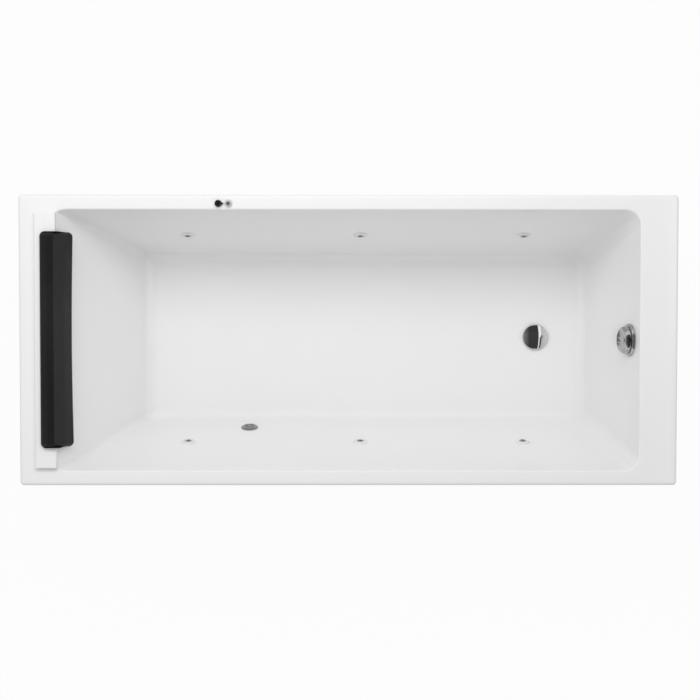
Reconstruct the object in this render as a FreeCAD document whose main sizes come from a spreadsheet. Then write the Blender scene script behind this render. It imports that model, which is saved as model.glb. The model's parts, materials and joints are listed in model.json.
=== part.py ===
"""Jetted bath, 1700 x 750 mm: moulded tub, waste set, six jets, pump and controls.

Millimetres. X runs along the tub, from the head end (-X) to the tap end (+X).
Y runs across it, with the controls on the +Y rim. Z is up, and z = 0 is the room's floor.
"""
import FreeCAD, Part
import math
import os
import re
from types import SimpleNamespace

import Sketcher
from FreeCAD import Placement, Rotation, Vector

SIZES = {
    # Rim: the flat top of the tub and the lip that hangs from its outer edge
    "tub_length": 1700.0,
    "tub_width": 750.0,
    "rim_height": 570.0,
    "shell_wall": 5.0,
    "lip_depth": 40.0,
    "rim_corner": 8.0,
    "rim_edge": 3.0,
    # Basin: how wide the rim is round its opening, and how far each wall leans in
    "head_rim": 98.0,
    "tap_rim": 98.0,
    "side_rim": 38.0,
    "basin_depth": 420.0,
    "head_run": 178.0,
    "tap_run": 72.0,
    "side_run": 104.0,
    "floor_fall": 6.0,
    "basin_corner": 40.0,
    "floor_round": 38.0,
    "opening_round": 5.0,
    "cutter_lift": 10.0,
    # Clearances that are used again and again
    "loose_gap": 0.3,
    "running_gap": 0.06,
    # Headrest: white plinth on the rim, black pad over it, two pegs
    "plinth_depth": 54.0,
    "plinth_length": 658.0,
    "plinth_height": 15.0,
    "plinth_round": 3.0,
    "pad_length": 558.0,
    "pad_back": 38.0,
    "pad_thickness": 15.0,
    "pad_back_height": 12.0,
    "pad_ridge": 2.0,
    "pad_front": 21.0,
    "pad_drop": 32.0,
    "pad_hollow": 4.0,
    "pad_crown": 2.0,
    "pad_round": 4.0,
    "peg_radius": 4.0,
    "peg_spacing": 360.0,
    "peg_depth": 10.0,
    "peg_grip": 7.0,
    # Frame under the tub; the board runs from an inset at the head end to a gap before the waste
    "board_inset": 320.0,
    "board_gap": 103.0,
    "board_width": 370.0,
    "board_thickness": 15.0,
    "rail_side": 30.0,
    "rail_wall": 2.0,
    "rail_length": 560.0,
    "rail_spacing": 740.0,
    "screw_radius": 2.5,
    "screw_head_radius": 5.0,
    "screw_head_height": 3.0,
    "screw_bite": 11.0,
    "screw_spacing": 150.0,
    "foot_spacing": 480.0,
    "foot_radius": 25.0,
    "foot_height": 12.0,
    "foot_rim": 6.0,
    "foot_bevel": 3.75,
    "foot_collar_radius": 10.0,
    "foot_collar_height": 10.0,
    "foot_floor": 8.0,
    "stud_radius": 5.0,
    "stud_spare": 4.0,
    "nut_radius": 9.8,
    "nut_height": 8.0,
    "batten_width": 25.0,
    "batten_height": 30.0,
    "side_batten_length": 980.0,
    "side_batten_middle": 245.0,
    "end_batten_length": 560.0,
    "end_batten_width": 60.0,
    # Waste: flange, lifting plug, gasket, body and trap; the inset counts from the tub's tap end
    "waste_inset": 307.0,
    "flange_radius": 35.0,
    "flange_height": 3.5,
    "flange_rim": 1.4,
    "flange_bevel": 3.0,
    "flange_slope": 4.0,
    "seat_radius": 38.5,
    "seat_depth": 0.5,
    "neck_radius": 25.5,
    "neck_length": 39.0,
    "neck_bore": 20.0,
    "spider_drop": 26.0,
    "spider_height": 8.0,
    "spider_radius": 7.0,
    "spider_rib": 3.0,
    "spider_ribs": 3,
    "plug_radius": 36.5,
    "plug_dome": 9.0,
    "plug_edge": 3.0,
    "stem_radius": 4.0,
    "stem_length": 49.0,
    "gasket_thickness": 3.0,
    "gasket_radius": 35.0,
    "waste_radius": 33.0,
    "waste_height": 46.0,
    "waste_floor": 4.0,
    "spigot_radius": 20.0,
    "spigot_bore": 16.5,
    "spigot_length": 26.0,
    "hose_port_drop": 22.0,
    "hose_port_reach": 60.0,
    "cable_port_drop": 37.0,
    "cable_port_reach": 50.0,
    "cable_port_offset": 18.0,
    "trap_radius": 38.0,
    "trap_wall": 4.0,
    "trap_dip": 46.0,
    "trap_height": 56.0,
    "trap_collar_radius": 25.0,
    "trap_collar_height": 14.0,
    "outlet_rise": 34.0,
    "outlet_reach": 88.0,
    "outlet_collar": 24.0,
    "outlet_collar_reach": 43.0,
    "cap_radius": 30.0,
    "cap_height": 10.0,
    "cap_plug_radius": 23.7,
    "cap_plug_height": 5.0,
    # Overflow: rosette, turning knob and body, joined to the waste by a hose and a cable
    "overflow_drop": 70.0,
    "rosette_radius": 42.0,
    "rosette_height": 8.0,
    "rosette_rim": 4.0,
    "rosette_bevel": 4.0,
    "overflow_neck": 29.5,
    "overflow_neck_length": 22.0,
    "overflow_port_radius": 4.5,
    "overflow_port_circle": 20.0,
    "overflow_ports": 6,
    "knob_radius": 34.0,
    "knob_height": 16.0,
    "knob_rim": 6.4,
    "knob_taper": 4.0,
    "knob_rib_width": 15.0,
    "knob_rib_length": 56.0,
    "knob_rib_height": 3.0,
    "spindle_radius": 7.0,
    "spindle_length": 26.0,
    "overflow_flange": 38.0,
    "overflow_flange_height": 5.0,
    "overflow_cup": 33.5,
    "overflow_cup_wall": 3.5,
    "overflow_cup_length": 38.0,
    "overflow_hose_step": 24.0,
    "overflow_spigot_drop": 130.0,
    "overflow_cable_offset": 20.0,
    "overflow_cable_drop": 115.0,
    "overflow_elbow_rise": 75.0,
    "overflow_elbow_reach": 95.0,
    "hose_radius": 15.0,
    "hose_bore": 11.5,
    "cable_radius": 3.0,
    "cable_port_radius": 5.0,
    # Jets: ring, ball nozzle and body
    "jet_drop": 214.0,
    "jet_x_head": -440.0,
    "jet_x_middle": 32.0,
    "jet_x_tap": 480.0,
    "jet_ring_radius": 19.0,
    "jet_ring_height": 4.0,
    "jet_ring_rim": 1.6,
    "jet_ring_bevel": 2.5,
    "jet_lip_radius": 9.8,
    "jet_lip_height": 1.2,
    "jet_neck_radius": 14.0,
    "jet_neck_length": 20.0,
    "ball_radius": 11.0,
    "ball_depth": 3.0,
    "ball_face": 8.0,
    "ball_back": 8.0,
    "ball_bore": 4.0,
    "jet_flange_radius": 24.0,
    "jet_flange_height": 5.0,
    "jet_body_radius": 19.0,
    "jet_body_wall": 4.0,
    "jet_body_length": 45.0,
    "jet_water_step": 34.0,
    "jet_spigot_radius": 10.0,
    "jet_spigot_bore": 7.5,
    "jet_air_radius": 5.0,
    "jet_air_bore": 3.0,
    "jet_air_length": 8.0,
    # Pipes that feed the jets
    "pipe_radius": 16.0,
    "pipe_bore": 13.5,
    "pipe_below_jets": 66.0,
    "pipe_end_spare": 30.0,
    "pipe_cap": 4.0,
    "boss_radius": 12.0,
    "boss_height": 22.0,
    "air_pipe_radius": 7.0,
    "air_pipe_bore": 5.0,
    "air_boss_radius": 6.0,
    "air_boss_length": 12.0,
    "air_pipe_inset": 75.0,
    "air_pipe_corner": 60.0,
    "pipe_bend_run": 47.0,
    # Suction fitting, low on the wall opposite the controls
    "suction_x": -280.0,
    "suction_drop": 329.0,
    "suction_cover_radius": 23.5,
    "suction_cover_height": 6.0,
    "suction_cover_rim": 2.4,
    "suction_cover_bevel": 4.7,
    "suction_cover_under": 0.5,
    "suction_neck": 18.0,
    "suction_neck_wall": 3.0,
    "suction_neck_length": 14.0,
    "suction_slot_width": 3.0,
    "suction_slot_length": 8.0,
    "suction_slot_circle": 14.0,
    "suction_slots": 8,
    "suction_flange": 32.0,
    "suction_flange_height": 5.0,
    "suction_cup": 24.0,
    "suction_cup_wall": 4.0,
    "suction_cup_length": 45.0,
    "suction_port_step": 30.0,
    "suction_port_reach": 45.0,
    "suction_pipe_radius": 18.0,
    "suction_pipe_bore": 14.5,
    "suction_elbow_reach": 100.0,
    # Pump, lying across under the backrest; the inset counts from the tub's head end
    "pump_inset": 108.0,
    "pump_height": 107.0,
    "volute_radius": 70.0,
    "volute_length": 60.0,
    "volute_wall": 4.0,
    "volute_front": -105.0,
    "inlet_length": 20.0,
    "riser_offset": 42.0,
    "volute_outlet_height": 78.0,
    "volute_outlet_wall": 2.0,
    "shaft_radius": 8.0,
    "impeller_radius": 50.0,
    "impeller_width": 14.0,
    "impeller_gap": 9.0,
    "motor_radius": 60.0,
    "motor_length": 195.0,
    "fan_radius": 50.0,
    "fan_width": 14.0,
    "fan_gap": 7.0,
    "fan_cover_length": 36.0,
    "fan_cover_wall": 3.0,
    "base_width": 160.0,
    "base_length": 270.0,
    "base_height": 31.0,
    "base_wall": 3.0,
    "motor_foot_width": 90.0,
    "motor_foot_length": 130.0,
    "motor_foot_start": 30.0,
    "box_pad_height": 4.0,
    "box_width": 80.0,
    "box_length": 90.0,
    "box_height": 45.0,
    "gland_radius": 11.0,
    "gland_sleeve": 8.8,
    "gland_length": 24.0,
    "gland_bore": 4.5,
    "gland_nut_length": 10.0,
    "lead_hole_gap": 1.0,
    # Controls on the +Y rim; the inset counts from the rim's outer edge
    "control_inset": 23.0,
    "dial_x": -336.0,
    "button_x": -310.0,
    "control_neck": 7.0,
    "control_nut": 9.6,
    "control_nut_height": 6.0,
    "control_body": 8.0,
    "control_body_length": 50.0,
    "dial_seat_radius": 9.5,
    "dial_seat_height": 2.0,
    "dial_radius": 8.8,
    "dial_height": 9.0,
    "dial_bevel": 1.5,
    "dial_bevel_height": 2.7,
    "dial_spindle": 3.0,
    "dial_spindle_length": 24.0,
    "dial_lever_reach": 13.5,
    "dial_lever_width": 4.0,
    "dial_lever_height": 4.0,
    "dial_lever_rise": 2.0,
    "button_flange_radius": 10.0,
    "button_flange_height": 3.0,
    "button_radius": 6.0,
    "button_height": 11.0,
    "button_bevel": 1.2,
    "button_proud": 4.0,
    "button_travel": 3.0,
    "spring_radius": 4.5,
    "spring_bore": 3.5,
    "spring_length": 16.0,
    "tube_port_radius": 3.5,
    "tube_port_length": 10.0,
    "tube_radius": 2.5,
    "tube_beside_hose": 18.0,
}

doc = FreeCAD.newDocument("jetted_bath")
sheet = doc.addObject("Spreadsheet::Sheet", "sizes")
for row, (alias, number) in enumerate(SIZES.items(), start=1):
    sheet.set(f"A{row}", alias)
    sheet.set(f"B{row}", str(number))
    sheet.setAlias(f"B{row}", alias)
doc.recompute()
s = SimpleNamespace(**SIZES)

# Places that follow from the sizes: numbers for what is worked out here, formulas for the document
s.head_edge = s.tub_length / 2 - s.head_rim
s.tap_edge = s.tub_length / 2 - s.tap_rim
s.side_edge = s.tub_width / 2 - s.side_rim
s.waste_x = s.tub_length / 2 - s.waste_inset
s.pump_x = s.pump_inset - s.tub_length / 2
s.air_pipe_head = s.air_pipe_inset - s.tub_length / 2
s.control_y = s.tub_width / 2 - s.control_inset
s.pipe_height = s.rim_height - s.jet_drop - s.pipe_below_jets
s.board_middle = (s.board_inset - s.waste_inset - s.board_gap) / 2
s.waste_end = (s.rim_height - s.basin_depth - s.shell_wall - s.gasket_thickness
               - s.waste_height - s.spigot_length)
s.trap_bottom = s.waste_end - s.trap_dip
s.outlet_height = s.trap_bottom + s.outlet_rise
FOLLOWING = {
    "cross_pipe_length": "(2 * (side_edge - side_run * jet_drop / basin_depth"
                         " + jet_water_step / sqrt(1 + (side_run / basin_depth)^2) - pipe_bend_run))",
    "head_edge": "(tub_length / 2 - head_rim)",
    "tap_edge": "(tub_length / 2 - tap_rim)",
    "side_edge": "(tub_width / 2 - side_rim)",
    "pump_x": "(pump_inset - tub_length / 2)",
    "pipe_height": "(rim_height - jet_drop - pipe_below_jets)",
    "board_length": "(tub_length - board_inset - waste_inset - board_gap)",
    "board_middle": "((board_inset - waste_inset - board_gap) / 2)",
    "trap_bottom": "(rim_height - basin_depth - shell_wall - gasket_thickness"
                   " - waste_height - spigot_length - trap_dip)",
}

FUNCTIONS = ("sqrt",)
UP = Vector(0, 0, 1)
ALONG = Vector(1, 0, 0)
ACROSS = Vector(0, 1, 0)
AXES = {"X": ALONG, "Y": ACROSS, "Z": UP, "-X": -ALONG, "-Y": -ACROSS, "-Z": -UP}
pieces = {}


# ---------------------------------------------------------------- helpers

def bound(formula):
    """Turn a formula over plain aliases into one that objects of the document can read."""
    for name, meaning in FOLLOWING.items():
        formula = re.sub(rf"\b{name}\b", meaning, formula)
    return re.sub(r"[a-z][a-z0-9_]+",
                  lambda word: word[0] if word[0] in FUNCTIONS else f"sizes.{word[0]}", formula)


def at(x=0.0, y=0.0, z=0.0, turn=Rotation()):
    return Placement(Vector(x, y, z), turn)


def facing(axis, x=0.0, y=0.0, z=0.0):
    """Place a piece made along Z so that it runs along the named axis from a point."""
    return Placement(Vector(x, y, z), Rotation(UP, AXES[axis]))


def outline(body, role, name, points, offset=0.0):
    """Closed outline of straight lines; each corner is tied to the sheet in both directions."""
    sketch = body.newObject("Sketcher::SketchObject", name)
    plane = [item for item in body.Origin.OriginFeatures if item.Role == role][0]
    sketch.AttachmentSupport = [(plane, "")]
    sketch.MapMode = "FlatFace"
    sketch.AttachmentOffset = at(z=offset)
    count = len(points)
    step = 2 * math.pi / count
    start = [Vector(math.cos(i * step), math.sin(i * step), 0) * 100 for i in range(count)]
    for i in range(count):
        sketch.addGeometry(Part.LineSegment(start[i], start[(i + 1) % count]), False)
    for i in range(count):
        sketch.addConstraint(Sketcher.Constraint("Coincident", i, 2, (i + 1) % count, 1))
    for i, corner in enumerate(points):
        for kind, formula in zip(("DistanceX", "DistanceY"), corner):
            index = sketch.addConstraint(Sketcher.Constraint(kind, -1, 1, i, 1, 1.0))
            sketch.setExpression(f"Constraints[{index}]", bound(formula))
    return sketch


def turned(name, points, place=Placement()):
    """Piece turned about its own Z axis, from (radius, height) corners."""
    body = doc.addObject("PartDesign::Body", name)
    sketch = outline(body, "XZ_Plane", f"{name}_outline", points)
    turn = body.newObject("PartDesign::Revolution", f"{name}_turn")
    turn.Profile = sketch
    turn.ReferenceAxis = (sketch, ["V_Axis"])
    turn.Angle = 360
    body.Placement = place
    return body


def extruded(name, role, points, length, place=Placement()):
    """Piece of one section, pulled to both sides of its own origin plane."""
    body = doc.addObject("PartDesign::Body", name)
    sketch = outline(body, role, f"{name}_outline", points)
    pad = body.newObject("PartDesign::Pad", f"{name}_pad")
    pad.Profile = sketch
    pad.SideType = "Symmetric"
    pad.setExpression("Length", bound(length))
    body.Placement = place
    return body


def rod(name, radius, height, place=Placement()):
    item = doc.addObject("Part::Cylinder", name)
    item.setExpression("Radius", bound(radius))
    item.setExpression("Height", bound(height))
    item.Placement = place
    return item


def post(name, radius, spot, foot):
    """Upright cylinder from a height up to a point."""
    item = doc.addObject("Part::Cylinder", name)
    item.setExpression("Radius", bound(radius))
    item.Height = spot.z - foot
    item.Placement = at(spot.x, spot.y, foot)
    return item


def block(name, length, width, height, x, y, z):
    """Box whose lower face is centred on a point."""
    item = doc.addObject("Part::Box", name)
    item.setExpression("Length", bound(length))
    item.setExpression("Width", bound(width))
    item.setExpression("Height", bound(height))
    item.setExpression("Placement.Base.x", bound(f"({x}) - ({length})/2"))
    item.setExpression("Placement.Base.y", bound(f"({y}) - ({width})/2"))
    item.setExpression("Placement.Base.z", bound(z))
    return item


def joined(name, *items):
    whole = doc.addObject("Part::MultiFuse", name)
    whole.Shapes = list(items)
    whole.Refine = True
    return whole


def less(name, base, *tools):
    tool = tools[0] if len(tools) == 1 else joined(f"{name}_tools", *tools)
    rest = doc.addObject("Part::Cut", name)
    rest.Base = base
    rest.Tool = tool
    rest.Refine = True
    return rest


def group(name, *items):
    """Identical pieces that share one file, each still a solid of its own."""
    whole = doc.addObject("Part::Compound", name)
    whole.Links = list(items)
    return whole


def rounded(name, base, radius_of):
    """Round the edges for which radius_of gives a radius."""
    doc.recompute()
    rows = []
    for index, edge in enumerate(base.Shape.Edges, start=1):
        radius = radius_of(edge)
        if radius:
            rows.append((index, radius, radius))
    smooth = doc.addObject("Part::Fillet", name)
    smooth.Base = base
    smooth.Edges = rows
    return smooth


def piece(item, label=None):
    """Keep an object as one named piece of the bath."""
    item.Label = label or item.Name
    pieces[item.Label] = item
    return item


def bend_radii(points):
    """Radius of the arc at each inner point of a route."""
    radii = []
    for before, corner, after in zip(points, points[1:], points[2:]):
        turn = (corner - before).getAngle(after - corner)
        shorter = min((corner - before).Length, (after - corner).Length)
        radii.append(0.45 * shorter / math.tan(turn / 2))
    return radii


def route(points):
    """Straight runs joined by arcs that touch both of their runs."""
    edges = []
    start = points[0]
    for before, corner, after, radius in zip(points, points[1:], points[2:], bend_radii(points)):
        into = (corner - before).normalize()
        out = (after - corner).normalize()
        reach = radius * math.tan(into.getAngle(out) / 2)
        first = corner - into * reach
        last = corner + out * reach
        inward = (out - into).normalize()
        middle = corner + inward * (math.hypot(radius, reach) - radius)
        edges.append(Part.LineSegment(start, first).toShape())
        edges.append(Part.Arc(first, middle, last).toShape())
        start = last
    edges.append(Part.LineSegment(start, points[-1]).toShape())
    return Part.Wire(edges)


def swept(points, radius):
    path = route(points)
    ring = Part.Wire(Part.makeCircle(radius, points[0], points[1] - points[0]))
    solid = path.makePipeShell([ring], True, False)
    expected = math.pi * radius ** 2 * path.Length
    if abs(solid.Volume / expected - 1) > 0.01:
        raise ValueError("a tube's volume differs from its section times its length")
    return solid


def tube(name, points, radius, bore=0.0, caps=(0.0, 0.0)):
    """Pipe, hose or cable along a route; caps are the thicknesses that close its two ends."""
    radii = [round(value, 1) for value in bend_radii(points)]
    print(name, "bend radii", radii, "length", round(route(points).Length, 1))
    solid = swept(points, radius)
    if bore:
        inner = list(points)
        inner[0] = points[0] + (points[1] - points[0]).normalize() * caps[0]
        inner[-1] = points[-1] - (points[-1] - points[-2]).normalize() * caps[1]
        solid = solid.cut(swept(inner, bore))
    item = doc.addObject("Part::Feature", name)
    item.Shape = solid
    return item


# ---------------------------------------------------------------- places worked out from the sizes

def side_wall_y(drop):
    """Distance of a side wall's inner face from the middle, at a drop below the rim."""
    return s.side_edge - s.side_run * drop / s.basin_depth


def wall_frame(point, inward):
    """Frame on a wall: Z points into the basin, Y up the wall."""
    upward = (UP - inward * UP.dot(inward)).normalize()
    return Placement(point, Rotation(upward.cross(inward), upward, inward, "ZXY"))


def side_frame(x, drop, side):
    lean = math.atan2(s.side_run, s.basin_depth)
    inward = Vector(0, -side * math.cos(lean), math.sin(lean))
    return wall_frame(Vector(x, side * side_wall_y(drop), s.rim_height - drop), inward)


def on_axis(frame, depth):
    """Point behind a wall, at a depth along the frame's axis."""
    return frame.multVec(Vector(0, 0, -depth))


floor_z = s.rim_height - s.basin_depth
under_floor = floor_z - s.shell_wall
tap_lean = math.atan2(s.tap_run, s.basin_depth)
overflow_frame = wall_frame(
    Vector(s.tap_edge - s.tap_run * s.overflow_drop / s.basin_depth, 0, s.rim_height - s.overflow_drop),
    Vector(-math.cos(tap_lean), 0, math.sin(tap_lean)))
jet_frames = [side_frame(x, s.jet_drop, side)
              for side in (1, -1) for x in (s.jet_x_head, s.jet_x_middle, s.jet_x_tap)]
suction_frame = side_frame(s.suction_x, s.suction_drop, -1)


# ---------------------------------------------------------------- tub

def basin_form(name, grow, fall, lift):
    """Solid that fills the basin: what two crossed, leaning sections have in common."""
    head_grow = f"({grow}) * sqrt(1 + (head_run / basin_depth)^2)"
    tap_grow = f"({grow}) * sqrt(1 + (tap_run / basin_depth)^2)"
    side_grow = f"({grow}) * sqrt(1 + (side_run / basin_depth)^2)"
    low = f"basin_depth + ({grow})"
    long_section = [
        (f"-head_edge - {head_grow} - head_run * ({lift}) / basin_depth", f"rim_height + ({lift})"),
        (f"-head_edge - {head_grow} + head_run * ({low} - ({fall})) / basin_depth",
         f"rim_height - ({low}) + ({fall})"),
        (f"tap_edge + {tap_grow} - tap_run * ({low}) / basin_depth", f"rim_height - ({low})"),
        (f"tap_edge + {tap_grow} + tap_run * ({lift}) / basin_depth", f"rim_height + ({lift})"),
    ]
    top = f"side_edge + {side_grow} + side_run * ({lift}) / basin_depth"
    bottom = f"side_edge + {side_grow} - side_run * ({low}) / basin_depth"
    cross_section = [
        (f"-({top})", f"rim_height + ({lift})"),
        (f"-({bottom})", f"rim_height - ({low})"),
        (bottom, f"rim_height - ({low})"),
        (top, f"rim_height + ({lift})"),
    ]
    form = doc.addObject("Part::Common", f"{name}_form")
    form.Base = extruded(f"{name}_long", "XZ_Plane", long_section, "tub_width")
    form.Tool = extruded(f"{name}_cross", "YZ_Plane", cross_section, "tub_length")
    return form


def basin_edges(corner, foot):
    """Radii for the basin's four leaning corners and for the edges of its floor."""
    def radius_of(edge):
        heights = [vertex.Z for vertex in edge.Vertexes]
        if max(heights) - min(heights) > s.basin_depth / 2:
            return corner
        if max(heights) < s.rim_height - s.basin_depth / 2:
            return foot
        return None
    return radius_of


def rim_edges(edge):
    """Upright corners and the top edge of the rim's outside."""
    heights = [vertex.Z for vertex in edge.Vertexes]
    if max(heights) - min(heights) > s.lip_depth / 2:
        return s.rim_corner
    return s.rim_edge if min(heights) > s.rim_height - 1 else None


def opening_edges(edge):
    """Edges of the opening, at the rim's top and inside its outline."""
    box = edge.BoundBox
    level = abs(box.ZMin - s.rim_height) < 0.01 and abs(box.ZMax - s.rim_height) < 0.01
    inside = max(abs(box.XMin), abs(box.XMax)) < (s.tub_length / 2 + s.head_edge) / 2
    inside = inside and max(abs(box.YMin), abs(box.YMax)) < (s.tub_width / 2 + s.side_edge) / 2
    return s.opening_round if level and inside else None


def make_tub():
    rim_bottom = "rim_height - lip_depth"
    rim_block = block("rim_block", "tub_length", "tub_width", "lip_depth", "0", "0", rim_bottom)
    rim = rounded("rim_smooth", rim_block, rim_edges)
    under_rim = block("under_rim", "tub_length - 2 * shell_wall", "tub_width - 2 * shell_wall",
                      "lip_depth - shell_wall", "0", "0", rim_bottom)
    tray = less("rim_tray", rim, under_rim)
    outside = rounded("basin_outside", basin_form("outside", "shell_wall", "0", "0"),
                      basin_edges(s.basin_corner + s.shell_wall, s.floor_round + s.shell_wall))
    inside = rounded("basin_inside", basin_form("inside", "0", "floor_fall", "cutter_lift"),
                     basin_edges(s.basin_corner, s.floor_round))
    moulding = less("moulding", joined("solid_moulding", tray, outside), inside)
    soft_rim = rounded("moulding_smooth", moulding, opening_edges)
    cutters = [
        rod("waste_seat", "seat_radius", "basin_depth / 4", at(s.waste_x, 0, floor_z - s.seat_depth)),
        rod("waste_hole", "neck_radius + loose_gap", "basin_depth / 4", at(s.waste_x, 0, under_floor - 1)),
        hole_in_wall("overflow_hole", overflow_frame, "overflow_neck + loose_gap"),
        hole_in_wall("suction_hole", suction_frame, "suction_neck + loose_gap"),
    ]
    for number, frame in enumerate(jet_frames, start=1):
        cutters.append(hole_in_wall(f"jet_hole_{number}", frame, "jet_neck_radius + loose_gap"))
    for name, x in (("dial_hole", s.dial_x), ("button_hole", s.button_x)):
        cutters.append(rod(name, "control_neck + loose_gap", "lip_depth",
                           at(x, s.control_y, s.rim_height - s.lip_depth / 2)))
    piece(less("tub_shell", soft_rim, *cutters))


def cup_cavity(name, frame, neck, length, wall, reach):
    """Cutter for the hollow of a cup that is clamped behind a wall."""
    start = frame.multiply(at(z=-s.shell_wall - reach))
    return rod(name, f"{neck} + loose_gap", f"{length} - {wall} + 1", start)


def hole_in_wall(name, frame, radius):
    """Cutter through a leaning wall, from well inside the basin to just behind the wall."""
    start = frame.multiply(at(z=-2 * s.shell_wall))
    return rod(name, radius, "4 * shell_wall", start)


# ---------------------------------------------------------------- headrest

def pad_section(hollow, crown):
    """Section of the pad: flat over the plinth, then down the backrest."""
    lean = "head_run / basin_depth"
    wall_gap = "loose_gap * sqrt(1 + (head_run / basin_depth)^2)"
    bottom = "rim_height + plinth_height + loose_gap"
    nose = "rim_height - pad_drop"
    return [
        ("-head_edge - pad_back", bottom),
        ("-head_edge - pad_back", f"{bottom} + pad_back_height"),
        ("-head_edge - pad_ridge", f"{bottom} + pad_thickness + ({crown})"),
        (f"-head_edge + pad_drop * {lean} + pad_front - ({hollow})", nose),
        (f"-head_edge + pad_drop * {lean} + {wall_gap}", nose),
        (f"-head_edge + {wall_gap}", "rim_height"),
        (f"-head_edge + {wall_gap}", bottom),
    ]


def make_headrest():
    plinth_x = "-head_edge - plinth_depth / 2"
    plinth_block = block("plinth_block", "plinth_depth", "plinth_length", "plinth_height",
                         plinth_x, "0", "rim_height")
    plinth = rounded("plinth_smooth", plinth_block,
                     lambda edge: s.plinth_round if edge.BoundBox.ZMax > s.rim_height + 1 else None)
    peg_x = -s.head_edge - s.plinth_depth / 2
    peg_foot = s.rim_height + s.plinth_height - s.peg_depth
    sides = (("left", -1), ("right", 1))
    sockets = [rod(f"peg_socket_{name}", "peg_radius + 2 * running_gap", "plinth_height",
                   at(peg_x, side * s.peg_spacing / 2, peg_foot - s.loose_gap)) for name, side in sides]
    piece(less("headrest_plinth", plinth, *sockets))
    pegs = [rod(f"peg_{name}", "peg_radius", "peg_depth + loose_gap + peg_grip",
                at(peg_x, side * s.peg_spacing / 2, peg_foot)) for name, side in sides]
    piece(group("headrest_pegs", *pegs))

    body = doc.addObject("PartDesign::Body", "pad_body")
    sections = []
    for name, place, hollow, crown in (("front", -0.5, "0", "0"), ("middle", 0.0, "pad_hollow", "pad_crown"),
                                       ("back", 0.5, "0", "0")):
        sections.append(outline(body, "XZ_Plane", f"pad_{name}_outline", pad_section(hollow, crown),
                                place * s.pad_length))
        sections[-1].setExpression("AttachmentOffset.Base.z", bound(f"{place} * pad_length"))
    loft = body.newObject("PartDesign::AdditiveLoft", "pad_loft")
    loft.Profile = sections[0]
    loft.Sections = [(section, [""]) for section in sections[1:]]
    smooth_pad = rounded("pad_smooth", body, pad_edges)
    holes = [rod(f"pad_hole_{name}", "peg_radius + running_gap", "peg_grip + loose_gap + running_gap",
                 at(peg_x, side * s.peg_spacing / 2, s.rim_height + s.plinth_height)) for name, side in sides]
    piece(less("headrest_pad", smooth_pad, *holes))


def pad_edges(edge):
    """Round every edge of the pad that can be seen: its ends, its ridge and its nose."""
    box = edge.BoundBox
    middle = box.Center
    hidden_x = middle.x > -s.head_edge - 1 and middle.x < -s.head_edge + 1
    along = box.YLength > s.pad_length / 2
    under = middle.z < s.rim_height + s.plinth_height + 1 and middle.x < -s.head_edge + 1
    wall_x = -s.head_edge + s.head_run * s.pad_drop / s.basin_depth
    backing = middle.x < wall_x + 2 and middle.z < s.rim_height + 1
    return None if under or backing or (hidden_x and not along) else s.pad_round


# ---------------------------------------------------------------- frame and feet

rail_top = under_floor - s.board_thickness
rail_bottom = rail_top - s.rail_side
rail_places = [s.board_middle + side * s.rail_spacing / 2 for side in (-1, 1)]
foot_places = [(x, side * s.foot_spacing / 2) for x in rail_places for side in (-1, 1)]


def make_frame():
    under = "rim_height - basin_depth - shell_wall"
    piece(block("base_board", "board_length", "board_width", "board_thickness",
                "board_middle", "0", f"{under} - board_thickness"))
    rails = []
    screws = []
    for number, side in enumerate(("-", "+"), start=1):
        middle = f"board_middle {side} rail_spacing / 2"
        low = f"{under} - board_thickness - rail_side"
        solid = block(f"rail_solid_{number}", "rail_side", "rail_length", "rail_side", middle, "0", low)
        hollow = block(f"rail_hollow_{number}", "rail_side - 2 * rail_wall", "rail_length + 2",
                       "rail_side - 2 * rail_wall", middle, "0", f"{low} + rail_wall")
        x = rail_places[number - 1]
        holes = [rod(f"stud_hole_{number}_{i}", "stud_radius + loose_gap", "rail_side + 2",
                     at(x, side_y * s.foot_spacing / 2, rail_bottom - 1)) for i, side_y in enumerate((-1, 1))]
        for i, y in enumerate((-s.screw_spacing, 0, s.screw_spacing)):
            holes.append(rod(f"screw_hole_{number}_{i}", "screw_radius + loose_gap", "rail_side + 2",
                             at(x, y, rail_bottom - 1)))
            shank = rod(f"shank_{number}_{i}", "screw_radius", "rail_side + screw_bite",
                        at(x, y, rail_bottom))
            head = rod(f"head_{number}_{i}", "screw_head_radius", "screw_head_height",
                       at(x, y, rail_bottom - s.screw_head_height))
            screws.append(joined(f"screw_{number}_{i}", shank, head))
        rails.append(less(f"rail_{number}", solid, hollow, *holes))
    piece(group("cross_rails", *rails))
    piece(group("frame_screws", *screws))
    board = pieces["base_board"]
    bites = [rod(f"bite_{i}", "screw_radius", "screw_bite", at(x, y, rail_top))
             for i, (x, y) in enumerate((x, y) for x in rail_places
                                        for y in (-s.screw_spacing, 0, s.screw_spacing))]
    board.Label = "board_blank"
    piece(less("base_board_drilled", board, *bites), "base_board")
    make_feet()
    make_battens()


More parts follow.
